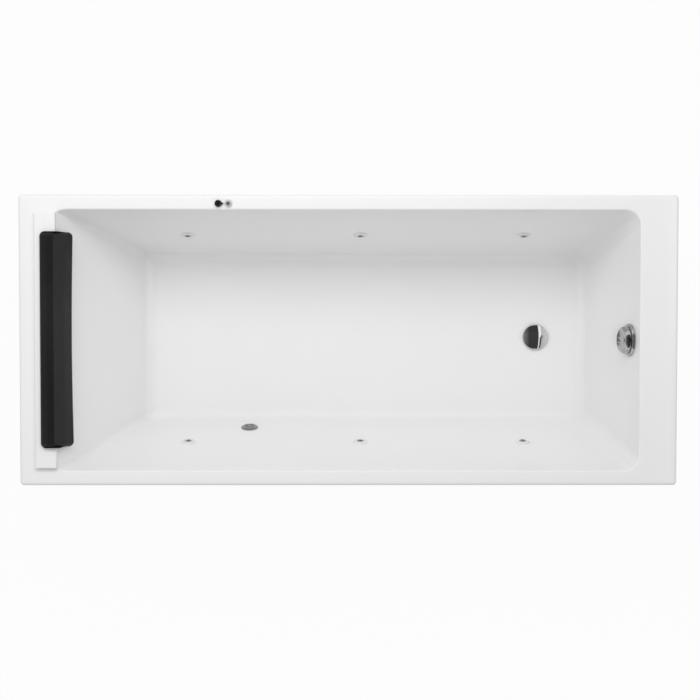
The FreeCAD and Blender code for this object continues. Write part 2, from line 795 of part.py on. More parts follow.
def make_feet():
    nuts = []
    studs = []
    for number, (x, y) in enumerate(foot_places, start=1):
        grip = "stud_radius + running_gap"
        top = "foot_height + foot_collar_height"
        piece(turned(f"foot_pad_{number}", [
            ("0", "0"), ("foot_radius", "0"), ("foot_radius", "foot_rim"),
            ("foot_radius - foot_bevel", "foot_height"), ("foot_collar_radius", "foot_height"),
            ("foot_collar_radius", top), (grip, top), (grip, "foot_floor"), ("0", "foot_floor")],
            at(x, y, 0)))
        nut_heights = (rail_bottom - s.nut_height, rail_top)
        studs.append(rod(f"stud_{number}", "stud_radius",
                         "rim_height - basin_depth - shell_wall - board_thickness"
                         " + nut_height + stud_spare - foot_floor", at(x, y, s.foot_floor)))
        for i, z in enumerate(nut_heights):
            hexagon = doc.addObject("Part::Prism", f"hexagon_{number}_{i}")
            hexagon.Polygon = 6
            hexagon.setExpression("Circumradius", bound("nut_radius"))
            hexagon.setExpression("Height", bound("nut_height"))
            hexagon.Placement = at(x, y, z)
            thread = rod(f"thread_{number}_{i}", grip, "nut_height + 2", at(x, y, z - 1))
            nuts.append(less(f"nut_{number}_{i}", hexagon, thread))
    piece(group("foot_studs", *studs))
    piece(group("lock_nuts", *nuts))


def make_battens():
    """Timber under the rim, between the lip and the basin."""
    low = "rim_height - shell_wall - batten_height"
    y = "tub_width / 2 - shell_wall - batten_width / 2"
    piece(group("side_battens", *[
        block(f"side_batten_{name}", "side_batten_length", "batten_width", "batten_height",
              "side_batten_middle", f"{sign}({y})", low) for name, sign in (("front", "-"), ("back", ""))]))
    x = "tub_length / 2 - shell_wall - end_batten_width / 2"
    piece(group("end_battens", *[
        block(f"end_batten_{name}", "end_batten_width", "end_batten_length", "batten_height",
              f"{sign}({x})", "0", low) for name, sign in (("head", "-"), ("tap", ""))]))


# ---------------------------------------------------------------- waste and trap

def make_waste():
    seat = floor_z - s.seat_depth
    place = at(s.waste_x, 0, seat)
    ring = turned("flange_ring", [
        ("neck_bore", "-neck_length"), ("neck_radius", "-neck_length"), ("neck_radius", "0"),
        ("flange_radius", "0"), ("flange_radius", "flange_rim"),
        ("flange_radius - flange_bevel", "flange_height"), ("neck_bore + flange_slope", "flange_height"),
        ("neck_bore", "0")], place)
    spider_z = seat - s.spider_drop - s.spider_height
    hub = rod("spider_hub", "spider_radius", "spider_height", at(s.waste_x, 0, spider_z))
    ribs = []
    for number in range(s.spider_ribs):
        rib = doc.addObject("Part::Box", f"spider_rib_{number}")
        rib.setExpression("Length", bound("neck_bore + 1"))
        rib.setExpression("Width", bound("spider_rib"))
        rib.setExpression("Height", bound("spider_height"))
        turn = Rotation(UP, 360 * number / s.spider_ribs)
        corner = turn.multVec(Vector(0, -s.spider_rib / 2, 0))
        rib.Placement = Placement(Vector(s.waste_x, 0, spider_z) + corner, turn)
        ribs.append(rib)
    guide = rod("stem_guide", "stem_radius + running_gap", "spider_height + 2",
                at(s.waste_x, 0, spider_z - 1))
    piece(less("waste_flange", joined("flange_with_spider", ring, hub, *ribs), guide))

    plug_bottom = seat + s.flange_height + s.loose_gap
    dome_radius = (s.plug_radius ** 2 + s.plug_dome ** 2) / (2 * s.plug_dome)
    ball = doc.addObject("Part::Sphere", "dome_ball")
    ball.setExpression("Radius", bound("(plug_radius^2 + plug_dome^2) / (2 * plug_dome)"))
    ball.Placement = at(s.waste_x, 0, plug_bottom + s.plug_edge + s.plug_dome - dome_radius)
    slug = rod("dome_slug", "plug_radius", "plug_edge + plug_dome + 1", at(s.waste_x, 0, plug_bottom))
    dome = doc.addObject("Part::Common", "plug_dome_form")
    dome.Base = slug
    dome.Tool = ball
    stem = rod("plug_stem", "stem_radius", "stem_length + plug_edge",
               at(s.waste_x, 0, plug_bottom - s.stem_length))
    piece(joined("waste_plug", dome, stem))

    piece(turned("waste_gasket", [
        ("neck_radius + loose_gap", "-gasket_thickness"), ("gasket_radius", "-gasket_thickness"),
        ("gasket_radius", "0"), ("neck_radius + loose_gap", "0")], at(s.waste_x, 0, under_floor)))

    top = under_floor - s.gasket_thickness
    cup = rod("waste_cup", "waste_radius", "waste_height", at(s.waste_x, 0, top - s.waste_height))
    hollow = rod("waste_hollow", "neck_radius + loose_gap", "waste_height",
                 at(s.waste_x, 0, top - s.waste_height + s.waste_floor))
    tail = rod("waste_tail", "spigot_radius", "spigot_length + 1",
               at(s.waste_x, 0, top - s.waste_height - s.spigot_length))
    tail_bore = rod("waste_tail_bore", "spigot_bore", "spigot_length + waste_floor + 2",
                    at(s.waste_x, 0, top - s.waste_height - s.spigot_length - 1))
    port_z = top - s.hose_port_drop
    port = rod("hose_port", "hose_radius", "hose_port_reach", facing("X", s.waste_x, 0, port_z))
    port_bore = rod("hose_port_bore", "hose_bore", "hose_port_reach + 1", facing("X", s.waste_x, 0, port_z))
    cable_z = top - s.cable_port_drop
    cable_port = rod("cable_port", "cable_port_radius", "cable_port_reach - neck_radius",
                     facing("X", s.waste_x + s.neck_radius, s.cable_port_offset, cable_z))
    piece(less("waste_body", joined("waste_body_solid", cup, tail, port, cable_port),
               hollow, tail_bore, port_bore))
    make_trap()


def make_trap():
    """Trap that hangs on the waste's tail, which dips into its water."""
    x = s.waste_x
    barrel = rod("trap_barrel", "trap_radius", "trap_height", at(x, 0, s.trap_bottom))
    collar = rod("trap_collar", "trap_collar_radius", "trap_height + trap_collar_height",
                 at(x, 0, s.trap_bottom))
    axis = facing("X", x, 0, s.outlet_height)
    outlet = rod("trap_outlet", "spigot_radius", "outlet_reach", axis)
    shoulder = rod("trap_outlet_collar", "outlet_collar", "outlet_collar_reach", axis)
    hollow = rod("trap_hollow", "trap_radius - trap_wall", "trap_height - 2 * trap_wall",
                 at(x, 0, s.trap_bottom + s.trap_wall))
    inlet = rod("trap_inlet", "spigot_radius + loose_gap", "trap_height",
                at(x, 0, s.trap_bottom + s.trap_height / 2))
    outlet_bore = rod("trap_outlet_bore", "spigot_bore", "outlet_reach + 1", axis)
    hatch = rod("trap_hatch", "cap_plug_radius + loose_gap", "trap_wall + 2", at(x, 0, s.trap_bottom - 1))
    piece(less("trap_body", joined("trap_solid", barrel, collar, outlet, shoulder),
               hollow, inlet, outlet_bore, hatch))
    piece(turned("trap_cap", [
        ("0", "trap_bottom - cap_height"), ("cap_radius", "trap_bottom - cap_height"),
        ("cap_radius", "trap_bottom"), ("cap_plug_radius", "trap_bottom"),
        ("cap_plug_radius", "trap_bottom + cap_plug_height"), ("0", "trap_bottom + cap_plug_height")],
        at(x, 0, 0)))


# ---------------------------------------------------------------- overflow

def make_overflow():
    frame = overflow_frame
    spindle_bore = "spindle_radius + running_gap"
    rosette = turned("rosette", [
        (spindle_bore, "-overflow_neck_length"), ("overflow_neck", "-overflow_neck_length"),
        ("overflow_neck", "0"), ("rosette_radius", "0"), ("rosette_radius", "rosette_rim"),
        ("rosette_radius - rosette_bevel", "rosette_height"), (spindle_bore, "rosette_height")], frame)
    ports = []
    for number in range(s.overflow_ports):
        turn = Rotation(UP, 360 * number / s.overflow_ports)
        spot = turn.multVec(Vector(s.overflow_port_circle, 0, -s.overflow_neck_length - 1))
        ports.append(rod(f"overflow_port_{number}", "overflow_port_radius",
                         "overflow_neck_length + rosette_height + 2",
                         frame.multiply(at(spot.x, spot.y, spot.z))))
    piece(less("overflow_plate", rosette, *ports))

    knob_low = "rosette_height + loose_gap"
    knob = turned("knob_disc", [
        ("0", f"{knob_low} - spindle_length"), ("spindle_radius", f"{knob_low} - spindle_length"),
        ("spindle_radius", knob_low), ("knob_radius", knob_low),
        ("knob_radius", f"{knob_low} + knob_rim"),
        ("knob_radius - knob_taper", f"{knob_low} + knob_height"), ("0", f"{knob_low} + knob_height")], frame)
    rib = doc.addObject("Part::Box", "knob_rib")
    rib.setExpression("Length", bound("knob_rib_width"))
    rib.setExpression("Width", bound("knob_rib_length"))
    rib.setExpression("Height", bound("knob_rib_height + 1"))
    rib.Placement = frame.multiply(at(-s.knob_rib_width / 2, -s.knob_rib_length / 2,
                                      s.rosette_height + s.loose_gap + s.knob_height - 1))
    piece(joined("overflow_knob", knob, rib))

    back = "-shell_wall"
    end = f"{back} - overflow_cup_length"
    cup = turned("overflow_cup_form", [
        ("0", back), ("overflow_flange", back), ("overflow_flange", f"{back} - overflow_flange_height"),
        ("overflow_cup", f"{back} - overflow_flange_height"), ("overflow_cup", end), ("0", end)], frame)
    hose_top = on_axis(frame, s.overflow_hose_step)
    hose_end = s.rim_height - s.overflow_spigot_drop
    cable_end = s.rim_height - s.overflow_cable_drop
    cable_top = hose_top + ACROSS * s.overflow_cable_offset
    spigot = post("overflow_spigot", "hose_radius", hose_top, hose_end)
    spigot_bore = post("overflow_spigot_bore", "hose_bore", hose_top, hose_end - 1)
    cable_port = post("overflow_cable_port", "cable_port_radius", cable_top, cable_end)
    cavity = cup_cavity("overflow_cavity", frame, "overflow_neck", "overflow_cup_length", "overflow_cup_wall",
                        s.overflow_cup_length - s.overflow_cup_wall)
    piece(less("overflow_body", joined("overflow_body_solid", cup, spigot, cable_port), cavity, spigot_bore))

    port_x = s.waste_x + s.hose_port_reach
    port_z = under_floor - s.gasket_thickness - s.hose_port_drop
    elbow_z = port_z + s.overflow_elbow_rise
    piece(tube("overflow_hose", [
        Vector(hose_top.x, 0, hose_end), Vector(hose_top.x, 0, elbow_z),
        Vector(port_x + s.overflow_elbow_reach, 0, port_z), Vector(port_x, 0, port_z)],
        s.hose_radius, s.hose_bore))
    cable_x = s.waste_x + s.cable_port_reach
    cable_z = under_floor - s.gasket_thickness - s.cable_port_drop
    piece(tube("popup_cable", [
        Vector(hose_top.x, s.overflow_cable_offset, cable_end),
        Vector(hose_top.x, s.overflow_cable_offset, cable_end - 80),
        Vector(hose_top.x, s.overflow_cable_offset + 8, elbow_z + 10),
        Vector(port_x + 100, s.overflow_cable_offset + 6, cable_z),
        Vector(cable_x + 35, s.cable_port_offset, cable_z),
        Vector(cable_x, s.cable_port_offset, cable_z)], s.cable_radius))


# ---------------------------------------------------------------- jets

pipe_y = side_wall_y(s.jet_drop) + s.jet_water_step * math.cos(math.atan2(s.side_run, s.basin_depth))
air_depth = s.shell_wall + s.jet_body_length + s.jet_air_length + s.air_boss_length


def make_jets():
    rings = []
    for number, frame in enumerate(jet_frames, start=1):
        ball_bore = "ball_radius + running_gap"
        rings.append(turned(f"jet_ring_{number}", [
            (ball_bore, "-jet_neck_length"), ("jet_neck_radius", "-jet_neck_length"),
            ("jet_neck_radius", "0"), ("jet_ring_radius", "0"),
            ("jet_ring_radius", "jet_ring_rim"), ("jet_ring_radius - jet_ring_bevel", "jet_ring_height"),
            ("jet_lip_radius", "jet_ring_height"), ("jet_lip_radius", "jet_ring_height - jet_lip_height"),
            (ball_bore, "jet_ring_height - jet_lip_height")], frame))
        make_nozzle(number, frame)
        make_jet_body(number, frame)
    piece(group("jet_rings", *rings))


def make_nozzle(number, frame):
    """Ball cut flat in front and behind, with a bore; it swivels in its ring."""
    centre = frame.multiply(at(z=-s.ball_depth))
    ball = doc.addObject("Part::Sphere", f"nozzle_ball_{number}")
    ball.setExpression("Radius", bound("ball_radius"))
    ball.Placement = centre
    slug = rod(f"nozzle_slug_{number}", "ball_radius + 1", "ball_face + ball_back",
               centre.multiply(at(z=-s.ball_back)))
    form = doc.addObject("Part::Common", f"nozzle_form_{number}")
    form.Base = ball
    form.Tool = slug
    bore = rod(f"nozzle_bore_{number}", "ball_bore", "2 * ball_radius", centre.multiply(at(z=-s.ball_radius)))
    piece(less(f"jet_nozzle_{number}", form, bore))


def make_jet_body(number, frame):
    back = "-shell_wall"
    end = f"{back} - jet_body_length"
    cup = turned(f"jet_cup_{number}", [
        ("0", back), ("jet_flange_radius", back), ("jet_flange_radius", f"{back} - jet_flange_height"),
        ("jet_body_radius", f"{back} - jet_flange_height"), ("jet_body_radius", end), ("0", end)], frame)
    water = on_axis(frame, s.jet_water_step)
    face = s.pipe_height + s.boss_height
    spigot = post(f"jet_spigot_{number}", "jet_spigot_radius", water, face)
    spigot_bore = post(f"jet_spigot_bore_{number}", "jet_spigot_bore", water, face - 1)
    start = frame.multiply(at(z=-s.shell_wall - s.jet_body_length - s.jet_air_length))
    air = rod(f"jet_air_{number}", "jet_air_radius", "jet_air_length + 1", start)
    air_bore = rod(f"jet_air_bore_{number}", "jet_air_bore", "jet_air_length + jet_body_wall + 2",
                   start.multiply(at(z=-1)))
    cavity = cup_cavity(f"jet_cavity_{number}", frame, "jet_neck_radius", "jet_body_length", "jet_body_wall",
                        s.jet_body_length - s.jet_body_wall)
    piece(less(f"jet_body_{number}", joined(f"jet_solid_{number}", cup, spigot, air),
               cavity, spigot_bore, air_bore))


def make_pipes():
    riser_x = s.pump_x + s.riser_offset
    riser_y = s.volute_front + s.volute_length / 2
    outlet_z = s.pump_height + s.volute_outlet_height
    cross_y = pipe_y - s.pipe_bend_run
    riser = rod("riser", "pipe_radius", "pipe_height - pump_height - volute_outlet_height",
                at(riser_x, riser_y, outlet_z))
    cross = rod("cross_pipe", "pipe_radius", "cross_pipe_length",
                facing("Y", riser_x, -cross_y, s.pipe_height))
    riser_bore = rod("riser_bore", "pipe_bore", "pipe_height - pump_height - volute_outlet_height",
                     at(riser_x, riser_y, outlet_z))
    cross_bore = rod("cross_pipe_bore", "pipe_bore", "cross_pipe_length + 2",
                     facing("Y", riser_x, -cross_y - 1, s.pipe_height))
    piece(less("delivery_tee", joined("tee_solid", riser, cross), riser_bore, cross_bore))

    for name, side in (("back", 1), ("front", -1)):
        run = tube(f"water_run_{name}", [
            Vector(riser_x, side * cross_y, s.pipe_height), Vector(riser_x, side * pipe_y, s.pipe_height),
            Vector(s.jet_x_tap + s.pipe_end_spare, side * pipe_y, s.pipe_height)],
            s.pipe_radius, s.pipe_bore, (0.0, s.pipe_cap))
        bosses = []
        bores = []
        for number, x in enumerate((s.jet_x_head, s.jet_x_middle, s.jet_x_tap)):
            spot = at(x, side * pipe_y, s.pipe_height)
            boss = rod(f"boss_{name}_{number}", "boss_radius", "boss_height", spot)
            core = rod(f"boss_core_{name}_{number}", "pipe_bore", "boss_radius * 2",
                       facing("X", x - s.boss_radius, side * pipe_y, s.pipe_height))
            bosses.append(less(f"saddle_{name}_{number}", boss, core))
            bores.append(rod(f"boss_bore_{name}_{number}", "jet_spigot_bore", "boss_height + 1", spot))
        piece(less(f"water_pipe_{name}", joined(f"water_{name}_solid", run, *bosses), *bores))
    make_air_pipe()


def make_air_pipe():
    """One thin pipe round the head end, behind all six jets."""
    centre = on_axis(jet_frames[0], air_depth)
    end_x = s.jet_x_tap + s.pipe_end_spare
    side_y = centre.y
    turn_x = s.air_pipe_head + s.air_pipe_corner
    turn_y = side_y - s.air_pipe_corner
    run = tube("air_run", [
        Vector(end_x, side_y, centre.z), Vector(turn_x, side_y, centre.z),
        Vector(s.air_pipe_head, turn_y, centre.z), Vector(s.air_pipe_head, -turn_y, centre.z),
        Vector(turn_x, -side_y, centre.z), Vector(end_x, -side_y, centre.z)],
        s.air_pipe_radius, s.air_pipe_bore, (s.pipe_cap, s.pipe_cap))
    places = [frame.multiply(at(z=-air_depth)) for frame in jet_frames]
    places.append(at(s.dial_x, side_y, centre.z))
    bosses = []
    bores = []
    for number, place in enumerate(places):
        boss = rod(f"air_boss_{number}", "air_boss_radius", "air_boss_length", place)
        core = rod(f"air_boss_core_{number}", "air_pipe_bore", "2 * air_boss_length",
                   facing("X", place.Base.x - s.air_boss_length, place.Base.y, place.Base.z))
        bosses.append(less(f"air_saddle_{number}", boss, core))
        bores.append(rod(f"air_boss_bore_{number}", "jet_air_bore", "air_boss_length + 1", place))
    piece(less("air_pipe", joined("air_solid", run, *bosses), *bores))
    feed_top = centre.z + s.air_boss_length
    valve_end = s.rim_height - s.shell_wall - s.control_nut_height - s.control_body_length
    piece(tube("air_hose", [Vector(s.dial_x, s.control_y, valve_end), Vector(s.dial_x, side_y, feed_top)],
               s.jet_air_radius, s.jet_air_bore))


# ---------------------------------------------------------------- suction

def make_suction():
    frame = suction_frame
    disc = turned("suction_disc", [
        ("0", "suction_cover_under"), ("suction_neck - suction_neck_wall", "suction_cover_under"),
        ("suction_neck - suction_neck_wall", "-suction_neck_length"),
        ("suction_neck", "-suction_neck_length"), ("suction_neck", "0"), ("suction_cover_radius", "0"),
        ("suction_cover_radius", "suction_cover_rim"),
        ("suction_cover_radius - suction_cover_bevel", "suction_cover_height"),
        ("0", "suction_cover_height")], frame)
    slots = []
    for number in range(s.suction_slots):
        slot = doc.addObject("Part::Box", f"suction_slot_{number}")
        slot.setExpression("Length", bound("suction_slot_length"))
        slot.setExpression("Width", bound("suction_slot_width"))
        slot.setExpression("Height", bound("suction_cover_height + 2"))
        turn = Rotation(UP, 360 * number / s.suction_slots)
        start = s.suction_slot_circle - s.suction_slot_length
        corner = turn.multVec(Vector(start, -s.suction_slot_width / 2, -1))
        slot.Placement = frame.multiply(Placement(corner, turn))
        slots.append(slot)
    piece(less("suction_cover", disc, *slots))

    back = "-shell_wall"
    end = f"{back} - suction_cup_length"
    cup = turned("suction_cup_form", [
        ("0", back), ("suction_flange", back), ("suction_flange", f"{back} - suction_flange_height"),
        ("suction_cup", f"{back} - suction_flange_height"), ("suction_cup", end), ("0", end)], frame)
    port = on_axis(frame, s.suction_port_step)
    spigot = rod("suction_spigot", "suction_pipe_radius", "suction_port_reach",
                 facing("-X", port.x, port.y, port.z))
    bore = rod("suction_spigot_bore", "suction_pipe_bore", "suction_port_reach + 1",
               facing("-X", port.x, port.y, port.z))
    cavity = cup_cavity("suction_cavity", frame, "suction_neck", "suction_cup_length", "suction_cup_wall",
                        s.suction_cup_length - s.suction_cup_wall)
    piece(less("suction_body", joined("suction_body_solid", cup, spigot), cavity, bore))
    inlet_y = s.volute_front - s.inlet_length
    piece(tube("suction_hose", [
        Vector(port.x - s.suction_port_reach, port.y, port.z),
        Vector(s.pump_x + s.suction_elbow_reach, port.y, port.z),
        Vector(s.pump_x, port.y, s.pump_height), Vector(s.pump_x, inlet_y, s.pump_height)],
        s.suction_pipe_radius, s.suction_pipe_bore))


# ---------------------------------------------------------------- pump

def make_pump():
    """Pieces are turned about a line that runs towards +Y, measured from the volute's front."""
    frame = facing("Y", s.pump_x, s.volute_front, s.pump_height)
    seal = "shaft_radius + running_gap"
    cup = turned("volute_cup", [
        ("suction_pipe_bore", "-inlet_length"), ("suction_pipe_radius", "-inlet_length"),
        ("suction_pipe_radius", "0"), ("volute_radius", "0"), ("volute_radius", "volute_length"),
        (seal, "volute_length"), (seal, "volute_length - volute_wall"),
        ("volute_radius - volute_wall", "volute_length - volute_wall"),
        ("volute_radius - volute_wall", "volute_wall"), ("suction_pipe_bore", "volute_wall")], frame)
    riser_x = s.pump_x + s.riser_offset
    riser_y = s.volute_front + s.volute_length / 2
    outlet = rod("volute_outlet", "pipe_radius + volute_outlet_wall", "volute_outlet_height",
                 at(riser_x, riser_y, s.pump_height))
    cavity = rod("volute_cavity", "volute_radius - volute_wall", "volute_length - 2 * volute_wall",
                 facing("Y", s.pump_x, s.volute_front + s.volute_wall, s.pump_height))
    outlet_bore = rod("volute_outlet_bore", "pipe_bore", "volute_outlet_height + 1",
                      at(riser_x, riser_y, s.pump_height))
    piece(less("pump_volute", joined("volute_solid", cup, outlet), cavity, outlet_bore))

    motor_start = "volute_length"
    motor_end = "volute_length + motor_length"
    impeller = "volute_wall + impeller_gap"
    fan = f"{motor_end} + fan_gap"
    piece(turned("pump_rotor", [
        ("0", impeller), ("impeller_radius", impeller), ("impeller_radius", f"{impeller} + impeller_width"),
        ("shaft_radius", f"{impeller} + impeller_width"), ("shaft_radius", fan), ("fan_radius", fan),
        ("fan_radius", f"{fan} + fan_width"), ("0", f"{fan} + fan_width")], frame))
    barrel = turned("motor_barrel", [
        (seal, motor_start), ("motor_radius", motor_start), ("motor_radius", motor_end),
        (seal, motor_end)], frame)
    foot_y = "volute_front + volute_length + motor_foot_start + motor_foot_length / 2"
    foot = block("motor_foot", "motor_foot_width", "motor_foot_length",
                 "pump_height - base_height - motor_radius / 2", "pump_x", foot_y, "base_height")
    box_z = "pump_height + motor_radius + box_pad_height"
    seat = block("box_pad", "box_width", "box_length", "motor_radius / 2 + box_pad_height",
                 "pump_x", foot_y, "pump_height + motor_radius / 2")
    shaft_way = rod("shaft_way", seal, "motor_length + 2",
                    facing("Y", s.pump_x, s.volute_front + s.volute_length - 1, s.pump_height))
    piece(less("pump_motor", joined("motor_solid", barrel, foot, seat), shaft_way))
    inner = "motor_radius - fan_cover_wall"
    piece(turned("fan_cover", [
        (inner, motor_end), ("motor_radius", motor_end), ("motor_radius", f"{motor_end} + fan_cover_length"),
        ("0", f"{motor_end} + fan_cover_length"), ("0", f"{motor_end} + fan_cover_length - fan_cover_wall"),
        (inner, f"{motor_end} + fan_cover_length - fan_cover_wall")], frame))
    piece(extruded("pump_base", "XZ_Plane", [
        ("-base_width / 2", "0"), ("-base_width / 2", "base_height"), ("base_width / 2", "base_height"),
        ("base_width / 2", "0"), ("base_width / 2 - base_wall", "0"),
        ("base_width / 2 - base_wall", "base_height - base_wall"),
        ("base_wall - base_width / 2", "base_height - base_wall"), ("base_wall - base_width / 2", "0")],
        "base_length", at(s.pump_x, s.volute_front + s.volute_length + s.motor_length / 2, 0)))

    box = block("box_blank", "box_width", "box_length", "box_height", "pump_x", foot_y, box_z)
    gland_y = s.volute_front + s.volute_length + s.motor_foot_start + s.motor_foot_length / 2
    gland_x = s.pump_x - s.box_width / 2
    gland_z = s.pump_height + s.motor_radius + s.box_pad_height + s.box_height / 2
    lead_hole = rod("lead_hole", "gland_bore + lead_hole_gap", "box_width / 2",
                    facing("X", gland_x - 1, gland_y, gland_z))
    piece(less("terminal_box", box, lead_hole))
    hexagon = doc.addObject("Part::Prism", "gland_hexagon")
    hexagon.Polygon = 6
    hexagon.setExpression("Circumradius", bound("gland_radius"))
    hexagon.setExpression("Height", bound("gland_nut_length"))
    hexagon.Placement = facing("-X", gland_x, gland_y, gland_z)
    sleeve = rod("gland_sleeve", "gland_sleeve", "gland_length", facing("-X", gland_x, gland_y, gland_z))
    lead_way = rod("lead_way", "gland_bore", "gland_length + 2", facing("-X", gland_x + 1, gland_y, gland_z))
    piece(less("cable_gland", joined("gland_solid", hexagon, sleeve), lead_way))


# ---------------------------------------------------------------- controls

def control_outline(top_radius, top_height, bore, bore_floor):
    """Body that hangs through the rim: flange on top, neck, nut, barrel."""
    return [
        ("0", "-shell_wall - control_nut_height - control_body_length"),
        ("control_body", "-shell_wall - control_nut_height - control_body_length"),
        ("control_body", "-shell_wall - control_nut_height"),
        ("control_nut", "-shell_wall - control_nut_height"),
        ("control_nut", "-shell_wall"), ("control_neck", "-shell_wall"), ("control_neck", "0"),
        (top_radius, "0"), (top_radius, top_height), (bore, top_height), (bore, bore_floor),
        ("0", bore_floor)]


def make_controls():
    dial_place = at(s.dial_x, s.control_y, s.rim_height)
    seat = "dial_seat_height"
    piece(turned("air_valve_body", control_outline(
        "dial_seat_radius", seat, "dial_spindle + running_gap", f"{seat} - dial_spindle_length"), dial_place))
    low = f"{seat} + loose_gap"
    disc = turned("dial_disc", [
        ("0", f"{low} - dial_spindle_length + 1"), ("dial_spindle", f"{low} - dial_spindle_length + 1"),
        ("dial_spindle", low), ("dial_radius", low),
        ("dial_radius", f"{low} + dial_height - dial_bevel_height"),
        ("dial_radius - dial_bevel", f"{low} + dial_height"), ("0", f"{low} + dial_height")], dial_place)
    lever = doc.addObject("Part::Box", "dial_lever")
    lever.setExpression("Length", bound("dial_lever_reach"))
    lever.setExpression("Width", bound("dial_lever_width"))
    lever.setExpression("Height", bound("dial_lever_height"))
    lever.Placement = dial_place.multiply(
        at(0, -s.dial_lever_width / 2, s.dial_seat_height + s.dial_lever_rise))
    piece(joined("air_valve_dial", disc, lever))

    place = at(s.button_x, s.control_y, s.rim_height)
    top = "button_flange_height"
    low = f"{top} + button_proud - button_height"
    well = f"{low} - spring_length"
    shell = turned("button_shell", control_outline(
        "button_flange_radius", top, "button_radius + running_gap",
        f"{low} - button_travel - loose_gap"), place)
    button_foot = s.rim_height + s.button_flange_height + s.button_proud - s.button_height
    spring_well = rod("spring_well", "spring_radius + loose_gap", "spring_length + 1",
                      at(s.button_x, s.control_y, button_foot - s.spring_length))
    end_z = s.rim_height - s.shell_wall - s.control_nut_height - s.control_body_length
    port = rod("tube_port", "tube_port_radius", "tube_port_length + 1",
               at(s.button_x, s.control_y, end_z - s.tube_port_length))
    piece(less("start_button_body", joined("button_solid", shell, port), spring_well))
    piece(turned("start_button", [
        ("0", low), ("button_radius", low), ("button_radius", f"{low} + button_height - button_bevel"),
        ("button_radius - button_bevel", f"{low} + button_height"), ("0", f"{low} + button_height")], place))
    piece(turned("button_spring", [
        ("spring_bore", well), ("spring_radius", well), ("spring_radius", low), ("spring_bore", low)], place))

    box_top = s.pump_height + s.motor_radius + s.box_pad_height + s.box_height
    box_y = s.volute_front + s.volute_length + s.motor_foot_start + s.motor_foot_length / 2
    port_z = end_z - s.tube_port_length
    beside_hose = s.control_y - s.tube_beside_hose
    piece(tube("signal_tube", [
        Vector(s.button_x, s.control_y, port_z), Vector(s.button_x, s.control_y, port_z - 38),
        Vector(s.button_x - 38, beside_hose, port_z - 66), Vector(s.button_x - 170, beside_hose, port_z - 78),
        Vector(s.button_x - 320, beside_hose - 6, port_z - 86), Vector(s.pump_x + 22, 300, port_z - 104),
        Vector(s.pump_x - 4, 220, port_z - 132), Vector(s.pump_x, box_y + 36, port_z - 176),
        Vector(s.pump_x, box_y, box_top + 60), Vector(s.pump_x, box_y, box_top)], s.tube_radius))


# ---------------------------------------------------------------- build, check and write

def check_document():
    """Stop if anything failed, before a file is written."""
    doc.recompute()
    for item in doc.Objects:
        if "Invalid" in item.State or "Error" in item.State:
            raise RuntimeError(f"{item.Name} could not be built")
    for name, item in pieces.items():
        if item.Shape.isNull() or not item.Shape.isValid() or not item.Shape.Solids:
            raise RuntimeError(f"{name} has no sound solid")


make_tub()
make_headrest()
make_frame()
make_waste()
make_overflow()
make_jets()
make_pipes()
make_suction()
make_pump()
make_controls()
check_document()
os.makedirs("parts", exist_ok=True)
for name, item in pieces.items():
    item.Shape.exportStep(f"parts/{name}.step")
print(len(pieces), "pieces written")
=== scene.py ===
"""Jetted bath: the looks of every piece around its fixed frame.

Sizes are in millimetres, which settled() turns into metres; lamp and camera are given in metres.
"""

import json
import math

import bmesh
import bpy
from mathutils import Matrix, Vector

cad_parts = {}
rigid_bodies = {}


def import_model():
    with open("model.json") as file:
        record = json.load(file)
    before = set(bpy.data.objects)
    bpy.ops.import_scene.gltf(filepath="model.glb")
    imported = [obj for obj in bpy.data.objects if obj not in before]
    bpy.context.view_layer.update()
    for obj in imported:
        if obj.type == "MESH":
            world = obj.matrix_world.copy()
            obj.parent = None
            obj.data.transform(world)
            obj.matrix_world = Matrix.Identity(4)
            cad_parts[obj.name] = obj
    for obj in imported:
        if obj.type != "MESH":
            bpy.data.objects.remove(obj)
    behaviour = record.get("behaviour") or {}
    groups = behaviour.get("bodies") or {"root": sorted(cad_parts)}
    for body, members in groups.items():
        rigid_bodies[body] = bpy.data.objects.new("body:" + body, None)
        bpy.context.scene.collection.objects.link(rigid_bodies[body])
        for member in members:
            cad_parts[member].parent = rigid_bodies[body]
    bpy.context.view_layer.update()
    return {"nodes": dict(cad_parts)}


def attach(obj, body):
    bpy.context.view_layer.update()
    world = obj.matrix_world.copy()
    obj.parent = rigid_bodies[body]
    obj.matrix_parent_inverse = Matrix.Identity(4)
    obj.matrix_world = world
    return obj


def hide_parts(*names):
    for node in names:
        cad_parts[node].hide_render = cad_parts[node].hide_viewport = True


for thing in list(bpy.data.objects):
    bpy.data.objects.remove(thing)
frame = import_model()

# ---------------------------------------------------------------- sizes shared with the frame

RIM = 570.0
WALL = 5.0
LIP = 40.0
HALF_LENGTH = 850.0
HALF_WIDTH = 375.0
DEPTH = 420.0
FALL = 6.0
HEAD = (752.0, 178.0 / DEPTH)
TAP = (752.0, 72.0 / DEPTH)
SIDE = (337.0, 104.0 / DEPTH)
CORNER = 40.0
FLOOR_ROUND = 38.0
OPENING_ROUND = 5.0
LEVELS = (220.0, 290.0, 360.0, 430.0, 500.0, 545.0)
OUTER_ROUND = 8.6
OUTER_CORNER = 9.6
JET_X = (-440.0, 32.0, 480.0)
JET_DROP = 214.0
OVERFLOW_DROP = 70.0
SUCTION_X = -280.0
SUCTION_DROP = 329.0
WASTE_X = 543.0
WASTE_SEAT = 149.5
PLINTH_X = -779.0
PEG_Y = 180.0
CONTROL_Y = 352.0
DIAL_X = -336.0
BUTTON_X = -310.0
PUMP = Vector((-742.0, 0.0, 107.0))
MOTOR_Y = 50.0
FINS = 44
LONG_STEPS = 30
SHORT_STEPS = 14
CORNER_STEPS = 9
SHARP = 35.0
SKY = 0.61
FLOOR_WHITE = 0.955
SENSOR = 36.0
FOCAL_RATIO = 1.83675


